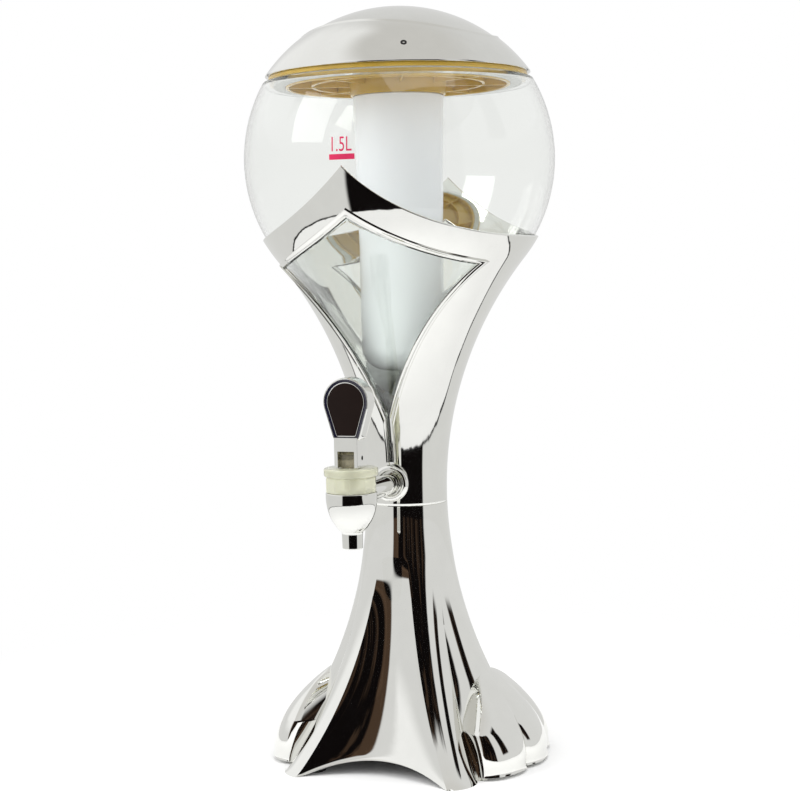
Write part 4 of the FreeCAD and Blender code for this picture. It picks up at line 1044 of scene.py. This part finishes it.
class TOWER_OT_stage(bpy.types.Operator):
    """Floor, light and camera"""

    bl_idname = "tower.stage"
    bl_label = "Stage"
    bl_options = {"REGISTER", "UNDO"}

    def execute(self, context):
        scene = context.scene
        scene.view_settings.view_transform = "Standard"
        span = np.linspace(-3.0, 3.0, 2) / MM
        floor = bpy.data.objects.new("floor", Form().grid(
            np.stack((span[:, None] + 0 * span, span + 0 * span[:, None], np.zeros((2, 2))), -1)).mesh("floor"))
        scene.collection.objects.link(floor)
        made, finish = material("pale_floor")
        place = finish.place()
        away = finish.node("ShaderNodeVectorMath", {"operation": "LENGTH"}, {0: place}, out="Value")
        glossy = finish.node("ShaderNodeLightPath", out="Is Glossy Ray")
        glossy = glossy * (1 - finish.node("ShaderNodeLightPath", out="Is Transmission Ray"))
        turned_by = finish.axis(place, "X").math("ARCTAN2", finish.axis(place, "Y") * -1.0) * (180 / math.pi)
        ragged = finish.noise(9, 4, 0.6) - 0.5
        edge = away + ragged * 0.05
        room = turned_by.within(*DARK_START) * (1 - turned_by.within(*DARK_END))
        beyond = finish.mix(room, (0.74, 0.74, 0.73), NEAR_BLACK)
        beyond = finish.mix(edge.within(0.52, 0.53), NEAR_BLACK, beyond)
        matt = finish.node("ShaderNodeBsdfDiffuse", None, {"Color": (0.93, 0.93, 0.93)})
        plain = finish.node("ShaderNodeEmission", None, {"Color": (1, 1, 1), "Strength": 1.0})
        mirrored = finish.node("ShaderNodeEmission", None, {"Color": beyond, "Strength": 1.0})
        shown = finish.node("ShaderNodeMixShader", None, {0: away.within(0.12, 0.42), 1: matt, 2: plain})
        mixed = finish.node("ShaderNodeMixShader", None, {0: edge.within(0.505, 0.51) * glossy, 1: shown, 2: mirrored})
        finish.node("ShaderNodeOutputMaterial", None, {"Surface": mixed})
        floor.data.materials.append(made)

        world = bpy.data.worlds.new("studio")
        scene.world = world
        world.use_nodes = True
        finish = Finish(world.node_tree)
        way = finish.node("ShaderNodeTexCoord", out="Generated")
        x, y, z = (finish.axis(way, name) for name in "XYZ")
        turned_by = x.math("ARCTAN2", y * -1.0) * (180 / math.pi)
        raised = z.math("ARCSINE") * (180 / math.pi)
        ragged = (finish.noise(3, 4, 0.6, vector=way) - 0.5) * 14
        dark = (turned_by + ragged * 0.15).within(*DARK_START) * (1 - (turned_by + ragged * 0.6).within(*DARK_END))
        post = (turned_by + ragged * 0.2).within(88, 91) * (1 - (turned_by + ragged * 0.2).within(103, 106))
        dark = dark.math("MAXIMUM", post * raised.within(8, 12)) * (1 - (raised + ragged).within(46, 52))
        left = (turned_by + ragged).within(-150, -130) * (1 - (turned_by + ragged).within(-40, -30))
        left = left * raised.within(8, 20) * (1 - raised.within(60, 75))
        streak = finish.noise(9, 3, 0.6, vector=finish.node(
            "ShaderNodeMapping", None, {"Vector": way, "Scale": (1, 1, 0.08)}))
        colours = context.scene.tower_colours
        brown = (1 - (turned_by + ragged * 0.3).within(-6, -3)) * 0.8 + streak.within(0.5, 0.66) * 0.5
        deep = finish.mix(brown, NEAR_BLACK, tuple(colours.studio_dark))
        rays = [finish.node("ShaderNodeLightPath", out=name) for name in ("Is Glossy Ray", "Is Camera Ray",
                                                                        "Is Transmission Ray")]
        plain = finish.mix(raised.within(45, 70), (0.76, 0.76, 0.755), (0.70, 0.69, 0.67))
        mirrored = finish.mix(dark, finish.mix(left, plain, (1, 1, 1)), deep)
        colour = finish.mix(rays[2], finish.mix(rays[0] * (1 - rays[1]), (1, 1, 1), mirrored), (0.88, 0.88, 0.87))
        seen = rays[0].math("MAXIMUM", rays[1]).math("MAXIMUM", rays[2])
        shader = finish.node("ShaderNodeBackground", None, {"Color": colour, "Strength": 0.95 + seen * 0.05})
        finish.node("ShaderNodeOutputWorld", None, {"Surface": shader})

        for name, spot, size, power in (("left_box", (-1.1, -0.9, 1.0), 0.8, 8), ("top_box", (0.3, -0.3, 1.5), 1.0, 8)):
            lamp = bpy.data.lights.new(name, "AREA")
            lamp.size = size
            lamp.energy = power
            lit = bpy.data.objects.new(name, lamp)
            scene.collection.objects.link(lit)
            lit.location = spot
            lit.visible_glossy = False
            to_middle = -(lit.location - type(lit.location)((0, 0, 0.25)))
            lit.rotation_euler = to_middle.to_track_quat("-Z", "Y").to_euler()

        lens = bpy.data.cameras.new("camera")
        lens.sensor_width = 36
        picture_width, focal_pixels = 800, 1729.2
        lens.lens = lens.sensor_width * focal_pixels / picture_width
        lens.clip_start = 0.01
        camera = bpy.data.objects.new("camera", lens)
        scene.collection.objects.link(camera)
        pitch, roll, yaw = 0.0811, 0.0216, 0.0027
        camera.matrix_world = (
            Matrix.Translation((0.3487, -0.958, 0.2941))
            @ Matrix.Rotation(math.radians(20) + yaw, 4, "Z")
            @ Matrix.Rotation(math.pi / 2 - pitch, 4, "X")
            @ Matrix.Rotation(-roll, 4, "Z"))
        scene.camera = camera
        return {"FINISHED"}


OPERATORS = (
    TOWER_OT_finishes, TOWER_OT_pedestal, TOWER_OT_shroud, TOWER_OT_container, TOWER_OT_lid, TOWER_OT_ice_tube,
    TOWER_OT_tap, TOWER_OT_lever, TOWER_OT_level_mark, TOWER_OT_stage)


class TOWER_PT_panel(bpy.types.Panel):
    """Lists the tower's settings and operators"""

    bl_label = "Drink Tower"
    bl_idname = "TOWER_PT_panel"
    bl_space_type = "VIEW_3D"
    bl_region_type = "UI"
    bl_category = "Tower"

    def draw(self, context):
        column = self.layout.column()
        for group in (context.scene.tower_sizes, context.scene.tower_colours):
            for key in type(group).__annotations__:
                column.prop(group, key)
        for operator in OPERATORS:
            column.operator(operator.bl_idname)


CLASSES = (TowerSizes, TowerColours, *OPERATORS, TOWER_PT_panel)


def register():
    for cls in CLASSES:
        bpy.utils.register_class(cls)
    bpy.types.Scene.tower_sizes = bpy.props.PointerProperty(type=TowerSizes)
    bpy.types.Scene.tower_colours = bpy.props.PointerProperty(type=TowerColours)


def unregister():
    del bpy.types.Scene.tower_colours
    del bpy.types.Scene.tower_sizes
    for cls in reversed(CLASSES):
        bpy.utils.unregister_class(cls)


def main():
    register()
    for operator in OPERATORS:
        getattr(bpy.ops.tower, operator.bl_idname.split(".")[1])()


if __name__ == "__main__":
    main()
